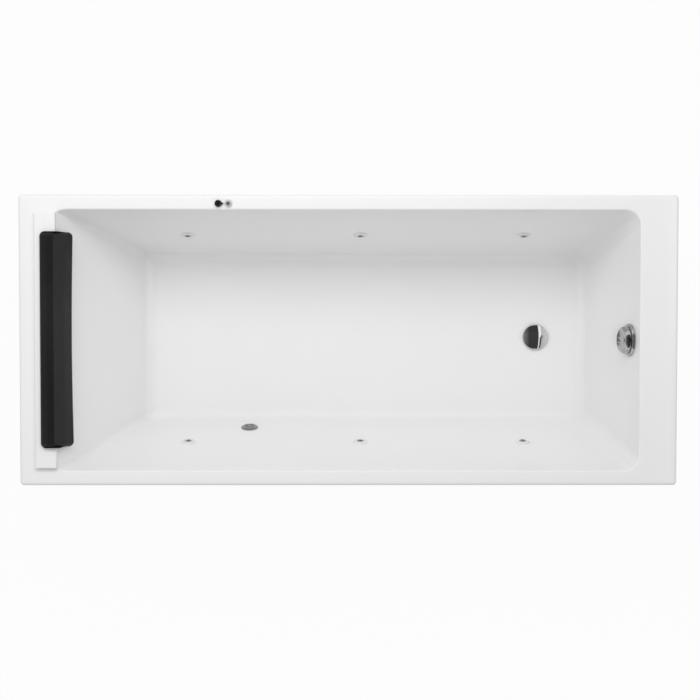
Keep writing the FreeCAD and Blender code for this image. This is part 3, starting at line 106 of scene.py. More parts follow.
# ---------------------------------------------------------------- mesh helpers

def at(x=0.0, y=0.0, z=0.0):
    """Frame moved to a point."""
    return Matrix.Translation((x, y, z))


def axes(origin, z_axis, y_axis):
    """Frame from an origin, its Z direction and roughly its Y direction."""
    z = Vector(z_axis).normalized()
    x = Vector(y_axis).cross(z).normalized()
    y = z.cross(x)
    turn = Matrix((x, y, z)).transposed().to_4x4()
    return Matrix.Translation(origin) @ turn


def wall_place(kind, along, drop, side=1):
    """Frame on a leaning wall: Z into the basin, Y up the wall."""
    offset, lean = {"head": HEAD, "tap": TAP, "side": SIDE}[kind]
    reach = offset - lean * drop
    outward = {"head": Vector((-1, 0, 0)), "tap": Vector((1, 0, 0)), "side": Vector((0, side, 0))}[kind]
    across = Vector((along, 0, 0)) if kind == "side" else Vector((0, along, 0))
    inward = (-outward + Vector((0, 0, lean))).normalized()
    return axes(across + outward * reach + Vector((0, 0, RIM - drop)), inward, (0, 0, 1))


def turns(count, first=0.0):
    """Even turns about Z, the first one by an angle in degrees."""
    return [Matrix.Rotation(math.radians(360 / count * k + first), 4, "Z") for k in range(count)]


def shade(bm, sharp):
    """Smooth faces that meet sharply where they bend by more than an angle in degrees."""
    limit = math.radians(sharp)
    for face in bm.faces:
        face.smooth = True
    for edge in bm.edges:
        if len(edge.link_faces) == 2:
            edge.smooth = edge.calc_face_angle() < limit


def settled(bm, name, *materials, sharp=SHARP):
    """Mesh in metres: welded, its faces pointing outward, with its materials."""
    bmesh.ops.remove_doubles(bm, verts=bm.verts, dist=1e-4)
    bmesh.ops.recalc_face_normals(bm, faces=bm.faces)
    shade(bm, sharp)
    bm.transform(Matrix.Scale(0.001, 4))
    mesh = bpy.data.meshes.new(name)
    bm.to_mesh(mesh)
    bm.free()
    for item in materials:
        mesh.materials.append(item)
    return mesh


def placed(name, mesh):
    """New object in the scene."""
    obj = bpy.data.objects.new(name, mesh)
    bpy.context.scene.collection.objects.link(obj)
    return obj


def show(name, mesh, body, slot, *stands_for):
    """Visible piece on a body, hiding the CAD nodes it stands for; the slot argument is not used."""
    obj = placed(name, mesh)
    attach(obj, body)
    if stands_for:
        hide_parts(*stands_for)
    return obj


def soften(points, radius, closed=False, steps=4):
    """Round the corners of a line of 2D points; a third number in a point is its own radius."""
    count = len(points)
    result = []
    for i, point in enumerate(points):
        here = Vector(point[:2])
        own = point[2] if len(point) > 2 else radius
        if own <= 0 or (not closed and i in (0, count - 1)):
            result.append(here)
            continue
        before = Vector(points[i - 1][:2])
        after = Vector(points[(i + 1) % count][:2])
        a = before - here
        b = after - here
        if a.length < 1e-6 or b.length < 1e-6:
            result.append(here)
            continue
        angle = a.angle(b)
        if angle > math.pi - 0.02:
            result.append(here)
            continue
        reach = min(own / math.tan(angle / 2), 0.48 * a.length, 0.48 * b.length)
        own = reach * math.tan(angle / 2)
        start = here + a.normalized() * reach
        end = here + b.normalized() * reach
        middle = here + (a.normalized() + b.normalized()).normalized() * (own / math.sin(angle / 2))
        first = math.atan2(*(start - middle).yx)
        sweep = math.atan2(*(end - middle).yx) - first
        sweep = (sweep + math.pi) % (2 * math.pi) - math.pi
        for k in range(steps + 1):
            turn = first + sweep * k / steps
            result.append(middle + Vector((math.cos(turn), math.sin(turn))) * own)
    return result


def bridge(bm, first, second, material=0):
    """Quads between two rings of the same count, or a fan to a single vertex."""
    count = max(len(first), len(second))
    for i in range(count):
        j = (i + 1) % count
        if len(first) == 1:
            corners = [first[0], second[i], second[j]]
        elif len(second) == 1:
            corners = [first[i], second[0], first[j]]
        else:
            corners = [first[i], second[i], second[j], first[j]]
        bm.faces.new(corners).material_index = material


def lathe(bm, profile, place, steps=64, closed=False):
    """Turned form from (radius, height) points; closed joins the last ring to the first."""
    rings = []
    for radius, height in profile:
        if radius < 1e-5:
            rings.append([bm.verts.new(place @ Vector((0, 0, height)))])
            continue
        rings.append([bm.verts.new(place @ Vector((radius * math.cos(2 * math.pi * i / steps),
                                                   radius * math.sin(2 * math.pi * i / steps), height)))
                      for i in range(steps)])
    pairs = list(zip(rings, rings[1:]))
    if closed:
        pairs.append((rings[-1], rings[0]))
    elif len(rings[0]) > 1 and len(rings[-1]) > 1:
        bm.faces.new(rings[0])
        bm.faces.new(rings[-1])
    for first, second in pairs:
        bridge(bm, first, second)


def loft(bm, loops):
    """Closed skin over loops of points, all of the same count."""
    rings = [[bm.verts.new(point) for point in loop] for loop in loops]
    for first, second in zip(rings, rings[1:]):
        bridge(bm, first, second)
    for ring in (rings[0], rings[-1]):
        bm.faces.new(ring)


def prism(bm, outline, place, low, high):
    """Straight prism over a 2D outline."""
    loft(bm, [[place @ Vector((p[0], p[1], z)) for p in outline] for z in (low, high)])


def rounded_rectangle(length, width, corner, steps=6):
    """2D outline of a rectangle about its middle."""
    x, y = length / 2, width / 2
    return soften([(x, -y), (x, y), (-x, y), (-x, -y)], corner, closed=True, steps=steps)


def inset(points, depth):
    """Closed 2D outline drawn in by a depth; points run clockwise and keep their own radii."""
    result = []
    for i, point in enumerate(points):
        before, here, after = (Vector(points[j % len(points)][:2]) for j in (i - 1, i, i + 1))
        first = (here - before).normalized()
        second = (after - here).normalized()
        bend = Vector((first.y + second.y, -first.x - second.x))
        scale = depth / max(0.2, (1 + first.dot(second)))
        moved = here + bend * scale
        result.append((moved.x, moved.y, max(point[2] - depth, 0.6)))
    return result


def slab(bm, length, width, low, high, corner, edge, place, steps=5):
    """Box with rounded upright corners and a rounded top edge."""
    levels = [(low, 0.0)]
    for k in range(steps + 1):
        turn = math.pi / 2 * k / steps
        levels.append((high - edge * (1 - math.sin(turn)), edge * (1 - math.cos(turn))))
    loops = []
    for z, back_off in levels:
        outline = rounded_rectangle(length - 2 * back_off, width - 2 * back_off, max(corner - back_off, 0.4))
        loops.append([place @ Vector((p.x, p.y, z)) for p in outline])
    loft(bm, loops)


def cut(name, base, cutter, sharp=SHARP):
    """Mesh of base less cutter, both closed meshes in metres; a cut face keeps the cutter's material."""
    solid = placed(f"{name}_solid", base)
    tool = placed(f"{name}_tool", cutter)
    rule = solid.modifiers.new("cut", "BOOLEAN")
    rule.operation = "DIFFERENCE"
    rule.solver = "EXACT"
    rule.material_mode = "TRANSFER"
    rule.object = tool
    view = bpy.context.evaluated_depsgraph_get()
    mesh = bpy.data.meshes.new_from_object(solid.evaluated_get(view))
    mesh.name = name
    for item in (solid, tool):
        bpy.data.objects.remove(item)
    bm = bmesh.new()
    bm.from_mesh(mesh)
    shade(bm, sharp)
    bm.to_mesh(mesh)
    bm.free()
    return mesh


# ---------------------------------------------------------------- materials

class Paint:
    """A material under construction: a Principled shader and the procedural nodes that feed it."""

    def __init__(self, name, **sockets):
        self.material = bpy.data.materials.new(name)
        self.material.use_nodes = True
        self.tree = self.material.node_tree
        self.shader = self.tree.nodes["Principled BSDF"]
        for key, value in sockets.items():
            self.shader.inputs[key.replace("_", " ")].default_value = value
        self.coordinates = self.tree.nodes.new("ShaderNodeTexCoord").outputs["Object"]
        self.bump = None

    def node(self, kind, **settings):
        made = self.tree.nodes.new(kind)
        for key, value in settings.items():
            setattr(made, key, value)
        return made

    def link(self, source, target):
        self.tree.links.new(source, target)

    def mapped(self, scale=(1, 1, 1)):
        mapping = self.node("ShaderNodeMapping")
        mapping.inputs["Scale"].default_value = scale
        self.link(self.coordinates, mapping.inputs["Vector"])
        return mapping.outputs["Vector"]

    def noise(self, scale, detail=4.0, rough=0.5, stretch=(1, 1, 1), distortion=0.0):
        made = self.node("ShaderNodeTexNoise")
        made.inputs["Scale"].default_value = scale
        made.inputs["Detail"].default_value = detail
        made.inputs["Roughness"].default_value = rough
        made.inputs["Distortion"].default_value = distortion
        self.link(self.mapped(stretch), made.inputs["Vector"])
        return made.outputs["Fac"]

    def cells(self, scale, feature="F1", output="Distance", stretch=(1, 1, 1)):
        made = self.node("ShaderNodeTexVoronoi", feature=feature)
        made.inputs["Scale"].default_value = scale
        self.link(self.mapped(stretch), made.inputs["Vector"])
        return made.outputs[output]

    def ramp(self, value, *stops):
        """Colours or greys along a value; each stop is (place, colour)."""
        made = self.node("ShaderNodeValToRGB")
        while len(made.color_ramp.elements) < len(stops):
            made.color_ramp.elements.new(0.5)
        for element, (place, colour) in zip(made.color_ramp.elements, stops):
            element.position = place
            colour = (colour,) * 3 if isinstance(colour, (int, float)) else colour
            element.color = (*colour, 1.0)
        self.link(value, made.inputs["Fac"])
        return made.outputs["Color"]

    def mixed(self, factor, first, second, blend="MIX"):
        made = self.node("ShaderNodeMix", data_type="RGBA", blend_type=blend)
        for slot_index, source in ((0, factor), (6, first), (7, second)):
            if hasattr(source, "is_linked"):
                self.link(source, made.inputs[slot_index])
            elif slot_index == 0:
                made.inputs[slot_index].default_value = source
            else:
                made.inputs[slot_index].default_value = (*source, 1.0)
        return made.outputs[2]

    def colour(self, value):
        self.link(value, self.shader.inputs["Base Color"])

    def roughness(self, value, low, high):
        made = self.node("ShaderNodeMapRange")
        made.inputs["From Min"].default_value = 0.3
        made.inputs["From Max"].default_value = 0.7
        made.inputs["To Min"].default_value = low
        made.inputs["To Max"].default_value = high
        self.link(value, made.inputs["Value"])
        self.link(made.outputs["Result"], self.shader.inputs["Roughness"])

    def relief(self, value, distance, strength=1.0):
        made = self.node("ShaderNodeBump")
        made.inputs["Distance"].default_value = distance
        made.inputs["Strength"].default_value = strength
        self.link(value, made.inputs["Height"])
        if self.bump:
            self.link(self.bump, made.inputs["Normal"])
        self.bump = made.outputs["Normal"]
        self.link(self.bump, self.shader.inputs["Normal"])


def plain(name, light, dark, low, high, grain, depth, scale=3.0, **sockets):
    """Moulded or cast surface: slow colour drift, uneven gloss and a fine grain."""
    paint = Paint(name, **sockets)
    paint.colour(paint.ramp(paint.noise(scale, 5.0, 0.6), (0.3, dark), (0.7, light)))
    paint.roughness(paint.noise(scale * 9, 4.0), low, high)
    paint.relief(paint.noise(grain, 3.0), depth)
    return paint.material


def acrylic():
    """Glossy white shell with a very slight unevenness."""
    paint = Paint("acrylic", IOR=1.49)
    drift = paint.noise(1.7, 3.0)
    paint.colour(paint.ramp(drift, (0.3, (0.898, 0.900, 0.900)), (0.7, (0.918, 0.918, 0.916))))
    paint.roughness(paint.noise(11.0, 3.0), 0.12, 0.17)
    paint.relief(paint.noise(55.0, 2.0), 0.00012, 0.6)
    return paint.material


def laminate():
    """Glass-fibre backing of the tub: matted strands under rough resin."""
    paint = Paint("laminate", Roughness=0.5)
    along = paint.ramp(paint.noise(70.0, 6.0, 0.7, (1, 6, 1), 1.2), (0.42, 0.0), (0.6, 1.0))
    across = paint.ramp(paint.noise(70.0, 6.0, 0.7, (6, 1, 3), 1.4), (0.42, 0.0), (0.6, 1.0))
    strands = paint.mixed(0.5, along, across, "LIGHTEN")
    drift = paint.ramp(paint.noise(4.0, 5.0, 0.6), (0.3, (0.56, 0.55, 0.48)), (0.7, (0.68, 0.67, 0.61)))
    paint.colour(paint.mixed(strands, drift, (0.74, 0.735, 0.69)))
    paint.roughness(paint.noise(30.0, 3.0), 0.35, 0.62)
    paint.relief(strands, 0.0006, 0.5)
    paint.relief(paint.noise(14.0, 4.0, 0.6), 0.002, 0.5)
    return paint.material


def skin_foam():
    """Closed skin of moulded foam: fine pebbles over soft dents."""
    paint = Paint("skin_foam", Specular_IOR_Level=0.30)
    drift = paint.noise(5.0, 4.0)
    paint.colour(paint.ramp(drift, (0.3, (0.0085, 0.0085, 0.009)), (0.7, (0.014, 0.014, 0.0145))))
    paint.roughness(paint.noise(24.0, 4.0), 0.34, 0.46)
    paint.relief(paint.cells(900.0, "SMOOTH_F1"), 0.00012, 0.55)
    paint.relief(paint.noise(18.0, 3.0), 0.0006, 0.25)
    return paint.material


def chrome(name="chrome", tint=(0.80, 0.81, 0.82), low=0.045, high=0.10):
    """Plated metal, polished to brushed by its roughness."""
    paint = Paint(name, Metallic=1.0)
    dim = tuple(value * 0.95 for value in tint)
    paint.colour(paint.ramp(paint.noise(30.0, 3.0), (0.35, dim), (0.65, tint)))
    paint.roughness(paint.noise(60.0, 5.0, 0.65), low, high)
    paint.relief(paint.noise(40.0, 2.0), 0.00002, 0.5)
    return paint.material


def zinc(name, light, dark, low, high, size=110.0):
    """Galvanised or plated steel with its crystal pattern."""
    paint = Paint(name, Metallic=1.0)
    spangle = paint.cells(size, output="Color")
    split = paint.node("ShaderNodeSeparateColor")
    paint.link(spangle, split.inputs["Color"])
    paint.colour(paint.ramp(split.outputs["Red"], (0.0, dark), (1.0, light)))
    paint.roughness(split.outputs["Green"], low, high)
    paint.relief(paint.noise(200.0, 3.0), 0.0001, 0.4)
    return paint.material


def timber():
    """Sawn wood with its grain along X."""
    paint = Paint("timber", Roughness=0.7)
    grain = paint.noise(9.0, 8.0, 0.62, (0.6, 9.0, 9.0), 1.1)
    fine = paint.noise(60.0, 5.0, 0.6, (0.35, 6.0, 6.0))
    tone = paint.ramp(grain, (0.28, (0.36, 0.21, 0.095)), (0.5, (0.56, 0.37, 0.19)),
                      (0.72, (0.66, 0.47, 0.27)))
    streaks = paint.ramp(fine, (0.3, (0.40, 0.25, 0.12)), (0.7, (0.72, 0.53, 0.32)))
    paint.colour(paint.mixed(0.35, tone, streaks))
    paint.roughness(fine, 0.55, 0.8)
    paint.relief(fine, 0.0004, 0.6)
    return paint.material


def chipboard():
    """Pressed wood chips, seen as flat flakes of several tones."""
    paint = Paint("chipboard", Roughness=0.75)
    split = paint.node("ShaderNodeSeparateColor")
    paint.link(paint.cells(150.0, output="Color", stretch=(0.55, 1.0, 1.6)), split.inputs["Color"])
    flakes = paint.ramp(split.outputs["Red"], (0.0, (0.33, 0.22, 0.12)), (0.5, (0.50, 0.36, 0.21)),
                        (1.0, (0.66, 0.51, 0.33)))
    drift = paint.ramp(paint.noise(6.0, 5.0), (0.3, (0.40, 0.28, 0.16)), (0.7, (0.60, 0.46, 0.29)))
    paint.colour(paint.mixed(0.3, flakes, drift))
    paint.roughness(split.outputs["Green"], 0.6, 0.85)
    paint.relief(split.outputs["Blue"], 0.0003, 0.6)
    return paint.material


ACRYLIC = acrylic()
LAMINATE = laminate()
FOAM = skin_foam()
CHROME = chrome()
DARK_CHROME = chrome("dark_chrome", (0.42, 0.43, 0.45))
BLACK_CHROME = chrome("black_chrome", (0.10, 0.10, 0.105))
NICKEL = chrome("satin_nickel", (0.46, 0.465, 0.47), 0.10, 0.18)
SLATE = chrome("slate_metal", (0.34, 0.345, 0.35), 0.26, 0.36)
ZINC = zinc("galvanised", (0.62, 0.64, 0.66), (0.44, 0.46, 0.48), 0.32, 0.5)
PLATED = zinc("plated", (0.70, 0.68, 0.60), (0.58, 0.57, 0.52), 0.22, 0.36, 260.0)
SPRING = zinc("spring_wire", (0.55, 0.56, 0.58), (0.45, 0.46, 0.48), 0.2, 0.3, 400.0)
TIMBER = timber()
CHIPBOARD = chipboard()
PEARL = plain("plated_plastic", (0.68, 0.685, 0.69), (0.62, 0.625, 0.63), 0.26, 0.34, 300.0, 0.00005,
              Metallic=0.15)
SATIN = plain("satin_plate", (0.86, 0.865, 0.865), (0.82, 0.825, 0.825), 0.22, 0.30, 300.0, 0.00005,
              Metallic=0.1)
BLACK = plain("black_plastic", (0.030, 0.030, 0.032), (0.020, 0.020, 0.022), 0.38, 0.52, 700.0, 0.00015)
SEAL = plain("seal_rubber", (0.030, 0.030, 0.030), (0.020, 0.020, 0.021), 0.6, 0.75, 300.0, 0.0002)
PVC = plain("white_pipe", (0.74, 0.745, 0.74), (0.67, 0.675, 0.665), 0.26, 0.36, 90.0, 0.0001)
GREY = plain("grey_plastic", (0.23, 0.235, 0.245), (0.19, 0.195, 0.205), 0.36, 0.46, 500.0, 0.00012)
HOSE = plain("hose_plastic", (0.40, 0.41, 0.42), (0.33, 0.34, 0.35), 0.34, 0.46, 120.0, 0.0001)
CLEAR = plain("clear_tube", (0.62, 0.66, 0.68), (0.54, 0.58, 0.60), 0.16, 0.26, 80.0, 0.00005,
              Transmission_Weight=0.35)
SHEATH = plain("cable_sheath", (0.032, 0.032, 0.034), (0.022, 0.022, 0.024), 0.42, 0.55, 260.0, 0.0001)
MOTOR = plain("motor_paint", (0.045, 0.075, 0.125), (0.034, 0.058, 0.100), 0.30, 0.42, 240.0, 0.00018)


# ---------------------------------------------------------------- tub

OVERFLOW = wall_place("tap", 0.0, OVERFLOW_DROP)
SUCTION = wall_place("side", SUCTION_X, SUCTION_DROP, -1)


def ring_points(tap, head, side_tap, side_head, tap_corner, head_corner):
    """Closed loop round the basin or the rim; each wall is given as (distance out, height).

    A corner is given by how far it reaches along X and along Y.
    """
    points = []
    spots = [(1, 1, tap, side_tap, tap_corner), (-1, 1, head, side_head, head_corner),
             (-1, -1, head, side_head, head_corner), (1, -1, tap, side_tap, tap_corner)]
    for index, (x_sign, y_sign, end, side, corner) in enumerate(spots):
        for k in range(CORNER_STEPS + 1):
            turn = math.pi / 2 * k / CORNER_STEPS
            c, q = math.cos(turn), math.sin(turn)
            if index % 2:
                c, q = q, c
            points.append(Vector((x_sign * (end[0] - corner[0] + corner[0] * c),
                                  y_sign * (side[0] - corner[1] + corner[1] * q),
                                  end[1] * c * c + side[1] * q * q)))
        first = points[-1]
        x_sign, y_sign, end, side, corner = spots[(index + 1) % 4]
        if index % 2 == 0:
            last = Vector((x_sign * (end[0] - corner[0]), y_sign * side[0], side[1]))
            steps = LONG_STEPS
        else:
            last = Vector((x_sign * end[0], y_sign * (side[0] - corner[1]), end[1]))
            steps = SHORT_STEPS
        points += [first.lerp(last, k / steps) for k in range(1, steps)]
    return points


def fillet(offset, lean, floor, radius, share):
    """Point on the round between floor and wall: share 0 on the floor, 1 on the wall."""
    slant = math.hypot(1, lean)
    middle_x = offset - lean * (RIM - floor) - radius * (slant - lean)
    turn = -math.pi / 2 + share * (math.pi / 2 - math.atan(lean))
    return middle_x + radius * math.cos(turn), floor + radius + radius * math.sin(turn)


def rolled(offset, lean, radius, share):
    """Point on the round between wall and rim: share 0 on the wall, 1 on the rim."""
    slant = math.hypot(1, lean)
    middle_x = offset + radius * (slant - lean)
    first = math.pi - math.atan(lean)
    turn = first + share * (math.pi / 2 - first)
    return middle_x + radius * math.cos(turn), RIM - radius + radius * math.sin(turn)


def head_reach(level, grow):
    """Reach of a corner at the head end: drawn out along X at the rim, tight below it."""
    near_rim = max(0.0, 1 - (RIM - level) / 70.0) ** 2
    depth = min(1.0, (RIM - level) / DEPTH)
    tight = 8.0 + 13.0 * depth + grow
    return tight + 30.0 * near_rim, tight


def basin_ring(shape, share=0.0, grow=0.0, level=None, radius=FLOOR_ROUND, corner=CORNER, fall=FALL):
    """Ring on the basin at a share of its floor round or rolled edge, or at a level of its wall.

    It can be grown outward by the shell's thickness; the floor rises by fall towards the head end.
    """
    floor = RIM - DEPTH - grow
    ends = []
    for (offset, lean), bottom in ((TAP, floor), (HEAD, floor + fall), (SIDE, floor), (SIDE, floor + fall)):
        out = offset + grow * math.hypot(1, lean)
        if shape == "fillet":
            ends.append(fillet(out, lean, bottom, radius, share))
        elif shape == "rolled":
            ends.append(rolled(out, lean, radius, share))
        else:
            ends.append((out - lean * (RIM - level), level))
    drawn = 0.0
    height = ends[0][1]
    if shape == "fillet":
        wall, height = fillet(TAP[0] + grow * math.hypot(1, TAP[1]), TAP[1], floor, radius, 1.0)
        drawn = wall - ends[0][0]
    elif shape == "rolled":
        wall, height = rolled(TAP[0], TAP[1], radius, 0.0)
        drawn = wall - ends[0][0]
    at_tap = max(corner - drawn, 3.0)
    at_head = tuple(max(reach - drawn, 3.0) for reach in head_reach(height, grow))
    return ring_points(*ends, (at_tap, at_tap), at_head)


def flat_ring(drawn_in, corner, z):
    """Level ring inside the rim's outline."""
    end = (HALF_LENGTH - drawn_in, z)
    side = (HALF_WIDTH - drawn_in, z)
    return ring_points(end, end, side, side, (corner, corner), (corner, corner))


def between(first, second, shares):
    """Loops on the way from one loop to another."""
    return [[a.lerp(b, share) for a, b in zip(first, second)] for share in shares]


def tub_front():
    """Loops of the shell's white side, from the basin's floor over the rim to the foot of its lip."""
    loops = [basin_ring("fillet", k / 9) for k in range(10)]
    loops += [basin_ring("wall", level=z) for z in LEVELS]
    loops += [basin_ring("rolled", k / 6, radius=OPENING_ROUND) for k in range(7)]
    rim = flat_ring(OUTER_ROUND, OUTER_CORNER - OUTER_ROUND, RIM)
    loops += between(loops[-1], rim, (0.25, 0.5, 0.75, 1.0))
    for k in range(1, 8):
        turn = math.pi / 2 * k / 7
        drawn_in = OUTER_ROUND * (1 - math.sin(turn))
        height = RIM - OUTER_ROUND * (1 - math.cos(turn))
        loops.append(flat_ring(drawn_in, OUTER_CORNER - drawn_in, height))
    loops.append(flat_ring(0.0, OUTER_CORNER, RIM - LIP + 1.0))
    loops.append(flat_ring(1.0, OUTER_CORNER - 1.0, RIM - LIP))
    return loops


def tub_back():
    """Loops of the shell's hidden side, from the foot of the lip back to the underside of the floor."""
    loops = [flat_ring(WALL - 1.0, 4.0, RIM - LIP), flat_ring(WALL, 3.0, RIM - LIP + 1.0),
             flat_ring(WALL, 3.0, RIM - WALL - 4), flat_ring(WALL + 4, 3.0, RIM - WALL)]
    back = dict(grow=WALL, corner=CORNER + WALL, fall=0.0)
    under = basin_ring("wall", level=RIM - WALL, **back)
    loops += between(loops[-1], under, (0.33, 0.66))
    loops.append([p + Vector((math.copysign(6, p.x), math.copysign(6, p.y), 0)) for p in under])
    loops.append([p + Vector((0, 0, -7)) for p in under])
    loops += [basin_ring("wall", level=z, **back) for z in LEVELS[-2::-1]]
    loops += [basin_ring("fillet", 1 - k / 7, radius=FLOOR_ROUND + WALL, **back) for k in range(8)]
    return loops


def tub_holes():
    """Cutter for the waste's seat and for the holes of overflow, suction, jets and controls."""
    tool = bmesh.new()
    lathe(tool, [(0, 130), (25.8, 130), (25.8, WASTE_SEAT), (38.5, WASTE_SEAT), (38.5, 190), (0, 190)],
          at(WASTE_X))
    holes = [(OVERFLOW, 29.8), (SUCTION, 18.3)]
    holes += [(wall_place("side", x, JET_DROP, side), 14.3) for side in (1, -1) for x in JET_X]
    for place, radius in holes:
        lathe(tool, [(0, -12), (radius, -12), (radius, 12), (0, 12)], place, 48)
    for x in (DIAL_X, BUTTON_X):
        lathe(tool, [(0, 540), (7.3, 540), (7.3, 590), (0, 590)], at(x, CONTROL_Y), 32)
    return settled(tool, "tub_cutter", ACRYLIC)


def make_tub():
    """Acrylic shell with its laminated back."""
    bm = bmesh.new()
    front = tub_front()
    rings = [[bm.verts.new(p) for p in loop] for loop in front + tub_back()]
    for index, (first, second) in enumerate(zip(rings, rings[1:])):
        bridge(bm, first, second, 0 if index < len(front) - 1 else 1)
    bm.faces.new(rings[0]).material_index = 0
    bm.faces.new(rings[-1]).material_index = 1
    body = settled(bm, "tub_body", ACRYLIC, LAMINATE, sharp=32.0)
    show("tub", cut("tub", body, tub_holes(), 32.0), "root", "acrylic", "tub_shell")


def make_plinth():
    """White bar on the head rim, with the holes for the pad's pegs."""
    bm = bmesh.new()
    slab(bm, 54.0, 658.0, RIM, RIM + 15.0, 2.5, 3.0, at(PLINTH_X))
    tool = bmesh.new()
    for side in (-1, 1):
        lathe(tool, [(0, 574.6), (4.15, 574.6), (4.15, 600), (0, 600)], at(PLINTH_X, PEG_Y * side), 32)
    body = settled(bm, "plinth_body", ACRYLIC)
    show("plinth", cut("plinth", body, settled(tool, "plinth_cutter", ACRYLIC)), "root", "acrylic",
         "headrest_plinth")


def make_pad():
    """Moulded foam pad: crowned over the plinth, a ridge, then a hollowed face down the backrest.

    Each spot along it is (place, how deep the section is drawn in there).
    """
    half = 277.0
    middle = 2.0
    turn_in = 12.0
    spots = []
    for k in range(9):
        turn = math.pi / 2 * k / 8
        spots.append((turn_in * (1 - math.cos(turn)) - half, turn_in * (1 - math.sin(turn))))
    inner = half - turn_in
    ends = spots[:]
    spots += [(-inner + 2 * inner * k / 30, 0.0) for k in range(1, 30)]
    spots += [(-y, depth) for y, depth in reversed(ends)]
    loops = []
    for y, depth in spots:
        bulge = math.cos(math.pi / 2 * y / half)
        ridge = 599.9 + 1.9 * bulge
        nose = -714.4 - 3.8 * bulge
        section = [(-790.0, 585.4, 1.5), (-790.0, 596.4, 6.5), (-771.0, 600.6, 14.0), (-754.0, ridge, 2.6),
                   (-732.0 - 2.2 * bulge, 572.0, 26.0), (nose, 543.0, 6.5), (nose - 4.0, 538.6, 5.0),
                   (-737.0, 538.6, 1.5), (-751.2, 570.4, 1.5), (-751.2, 585.4, 1.0)]
        around = soften(inset(section, depth) if depth else section, 0.0, closed=True, steps=6)
        loops.append([Vector((p.x, y + middle, p.y)) for p in around])
    bm = bmesh.new()
    loft(bm, loops)
    pad = show("pad", settled(bm, "pad", FOAM, sharp=38.0), "headrest", "pad_black", "headrest_pad")


make_tub()
make_plinth()
make_pad()


# ---------------------------------------------------------------- chrome in the basin

def make_overflow():
    """Rosette with its six water ports, and the knob over it with a notch darkened by painted shade and a
    grip rib.
    """
    bm = bmesh.new()
    profile = [(7.2, -22), (29.5, -22), (29.5, 0), (43.5, 0), (43.5, 3.4, 2.2), (40.5, 8.0, 1.6), (7.2, 8.0)]
    lathe(bm, soften(profile, 0.3, closed=True), OVERFLOW, 96, closed=True)
    plate = settled(bm, "overflow_plate_body", NICKEL)
    tool = bmesh.new()
    for turn in turns(6):
        lathe(tool, [(0, -30), (4.5, -30), (4.5, 12), (0, 12)], OVERFLOW @ turn @ at(20), 24)
    plate = cut("overflow_rosette", plate, settled(tool, "overflow_cutter", CHROME))
    show("overflow_rosette", plate, "root", "chrome", "overflow_plate")

    bm = bmesh.new()
    profile = [(0, -17.7), (7, -17.7), (7, 8.3), (36.0, 8.3, 0.8), (37.0, 11.5, 2.0), (35.5, 18.5, 5.0),
               (30.5, 24.3, 2.4), (0, 24.3)]
    lathe(bm, soften(profile, 0.4), OVERFLOW, 96)
    knob = settled(bm, "overflow_knob_body", NICKEL, sharp=40.0)
    tool = bmesh.new()
    notch = soften([(-6.6, 31.0), (-7.4, 46.0), (7.4, 46.0), (6.6, 31.0)], 1.6, closed=True)
    prism(tool, notch, OVERFLOW, 10.0, 20.5)
    # The notch's cut faces take the cutter's black plastic: painted shade in the notch.
    knob = cut("overflow_turn_knob", knob, settled(tool, "notch_shade_cutter", BLACK), 40.0)
    rib = bmesh.new()
    slab(rib, 15.0, 50.0, 23.6, 26.2, 6.5, 1.6, OVERFLOW)
    bm = bmesh.new()
    bm.from_mesh(knob)
    bm.from_mesh(settled(rib, "knob_rib"))
    bm.to_mesh(knob)
    bm.free()
    show("overflow_turn_knob", knob, "overflow_knob", "chrome", "overflow_knob")


def make_waste():
    """Drain flange with its three-armed spider, and the domed plug whose stem the spider guides."""
    bm = bmesh.new()
    place = at(WASTE_X, 0, WASTE_SEAT)
    profile = [(20, -39), (25.5, -39), (25.5, 0), (35, 0), (35, 1.6, 1.0), (32, 3.5, 1.0), (24, 3.5, 1.4),
               (20, 0, 2.0)]
    lathe(bm, soften(profile, 0.3, closed=True), place, 96, closed=True)
    hub = [(4.06, -34), (7, -34), (7, -26), (4.06, -26)]
    lathe(bm, soften(hub, 0.5, closed=True), place, 32, closed=True)
    for turn in turns(3):
        slab(bm, 14.5, 3.0, -34.0, -26.0, 0.4, 0.6, place @ turn @ at(13.3))
    show("drain_flange", settled(bm, "drain_flange", CHROME), "root", "chrome", "waste_flange")

    bm = bmesh.new()
    low = 153.3
    out = 36.5
    rise = 6.0
    radius = (out ** 2 + rise ** 2) / (2 * rise)
    limit = math.asin(out / radius)
    dome = []
    for k in range(16):
        turn = limit * k / 16
        dome.append((radius * math.sin(turn), low + 2 * rise - radius * (1 - math.cos(turn))))
    profile = dome + [(out, low + rise, 1.2), (out, low, 0.8), (33.0, low), (31.0, low + 1.2),
                      (4.0, low + 1.2), (4.0, low - 49.0), (0, low - 49.0)]
    lathe(bm, soften(profile, 0.0), at(WASTE_X), 96)
    show("drain_plug", settled(bm, "drain_plug", CHROME), "waste_plug", "chrome", "waste_plug")


